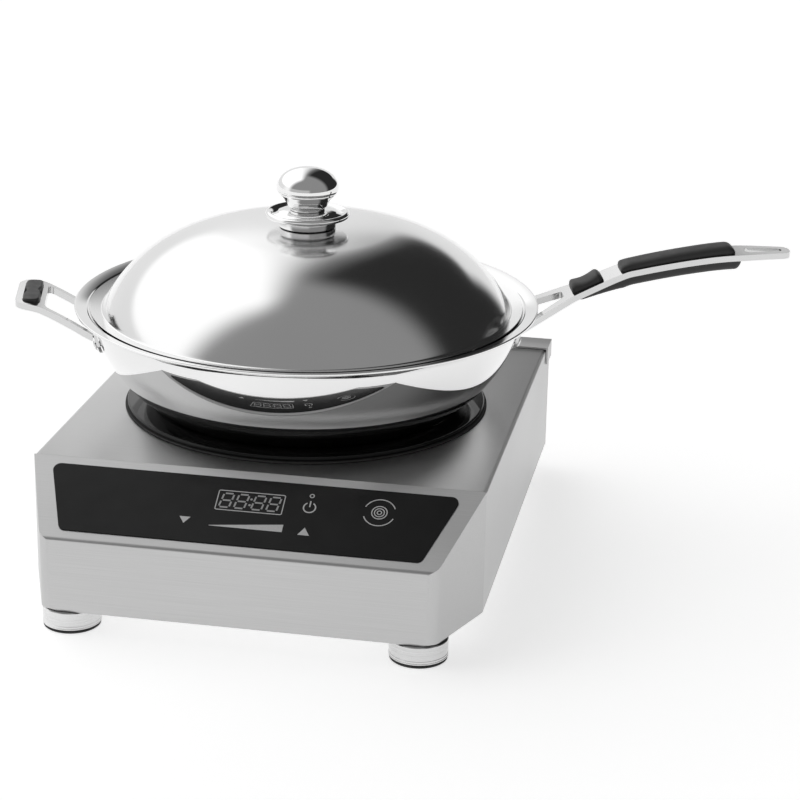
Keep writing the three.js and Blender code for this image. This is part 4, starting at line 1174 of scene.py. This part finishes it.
class Studio:
    """A soft studio as a world shader: tones by direction from the object."""

    def __init__(self):
        world = bpy.data.worlds.new("studio")
        bpy.context.scene.world = world
        world.use_nodes = True
        self.tree = world.node_tree
        self.tree.nodes.clear()
        coords = self.tree.nodes.new("ShaderNodeTexCoord")
        split = self.tree.nodes.new("ShaderNodeSeparateXYZ")
        self.tree.links.new(coords.outputs["Generated"], split.inputs[0])
        self.sideways, self.back, self.height = split.outputs

    def ramp(self, value, start, end, low=0.0, high=1.0):
        """Goes smoothly from low to high as the value goes from start to end."""
        node = self.tree.nodes.new("ShaderNodeMapRange")
        node.interpolation_type = "SMOOTHSTEP"
        for socket, number in zip(("From Min", "From Max", "To Min", "To Max"), (start, end, low, high)):
            node.inputs[socket].default_value = number
        self.tree.links.new(value, node.inputs["Value"])
        return node.outputs["Result"]

    def math(self, operation, first, second):
        """One step of arithmetic on values or numbers."""
        node = self.tree.nodes.new("ShaderNodeMath")
        node.operation = operation
        for socket, value in zip(node.inputs, (first, second)):
            if isinstance(value, (int, float)):
                socket.default_value = value
            else:
                self.tree.links.new(value, socket)
        return node.outputs[0]

    def blend(self, factor, first, second):
        """Tone that goes from the first to the second as the factor goes from 0 to 1."""
        return self.math("ADD", first, self.math("MULTIPLY", factor, self.math("SUBTRACT", second, first)))

    def light(self, tone, strength):
        """Makes the tone the world's light."""
        background = self.tree.nodes.new("ShaderNodeBackground")
        background.inputs["Strength"].default_value = strength
        self.tree.links.new(tone, background.inputs["Color"])
        output = self.tree.nodes.new("ShaderNodeOutputWorld")
        self.tree.links.new(background.outputs[0], output.inputs["Surface"])


def add_light():
    """A big soft box on the left, a dim ceiling, a black flag behind right and a pale horizon."""
    studio = Studio()
    leftwards = studio.math("MULTIPLY", studio.sideways, -1.0)
    left_and_back = studio.math("ADD", leftwards, studio.math("MULTIPLY", studio.back, 1.4))
    box_width = studio.ramp(leftwards, 0.08, 0.3)
    soft_box = studio.math("MULTIPLY", box_width, studio.ramp(left_and_back, -0.2, 0.35))
    back_and_right = studio.math("ADD", studio.back, studio.math("MULTIPLY", studio.sideways, 0.35))
    flag_side = studio.ramp(studio.sideways, -0.2, 0.02)
    flag = studio.math("MULTIPLY", studio.ramp(back_and_right, 0.2, 0.5), flag_side)
    not_right = studio.ramp(studio.sideways, 0.42, 0.24)
    low = studio.math("MULTIPLY", studio.ramp(studio.height, 0.33, 0.26), not_right)
    horizon = studio.math("MULTIPLY", low, studio.ramp(studio.back, -0.35, 0.1, 0.45))
    tone = studio.blend(soft_box, 0.28, 1.24)
    tone = studio.blend(flag, tone, 0.025)
    tone = studio.blend(horizon, tone, 0.85)
    studio.light(tone, 1.0)


CAMERA_PLACE = (382.3, -1687.0, 728.2)  # from the floor under the cooking axis
CAMERA_AZIMUTH = math.radians(10.304)
CAMERA_ELEVATION = math.radians(19.514)
CAMERA_ROLL = math.radians(1.117)
CAMERA_LENS = 103.59
SENSOR_WIDTH = 36


def add_camera():
    """A long lens from the front, a little to the right and above."""
    right = Vector((math.cos(CAMERA_AZIMUTH), math.sin(CAMERA_AZIMUTH), 0))
    outwards = Vector((math.sin(CAMERA_AZIMUTH), -math.cos(CAMERA_AZIMUTH), 0))
    back = outwards * math.cos(CAMERA_ELEVATION) + Vector((0, 0, math.sin(CAMERA_ELEVATION)))
    up = back.cross(right)
    rolled = right * math.cos(CAMERA_ROLL) + up * math.sin(CAMERA_ROLL)
    data = bpy.data.cameras.new("camera")
    data.lens = CAMERA_LENS
    data.sensor_width = SENSOR_WIDTH
    data.clip_end = 60
    camera = bpy.data.objects.new("camera", data)
    bpy.context.scene.collection.objects.link(camera)
    axes = Matrix((rolled, back.cross(rolled), back)).transposed()
    camera.matrix_world = Matrix.Translation(HOB_PLACE @ Vector(CAMERA_PLACE)) @ axes.to_4x4()
    bpy.context.scene.camera = camera


add_front_panel()
add_top_cover()
soften_flat_cad("rear_cover", "base_plate")
add_label()
add_feet()
add_bowl()
add_wok_pan()
add_long_handle()
add_grips()
add_helper_handle()
add_lid()
add_knob()
add_floor()
add_light()
add_camera()
bpy.context.scene.view_settings.view_transform = "Standard"
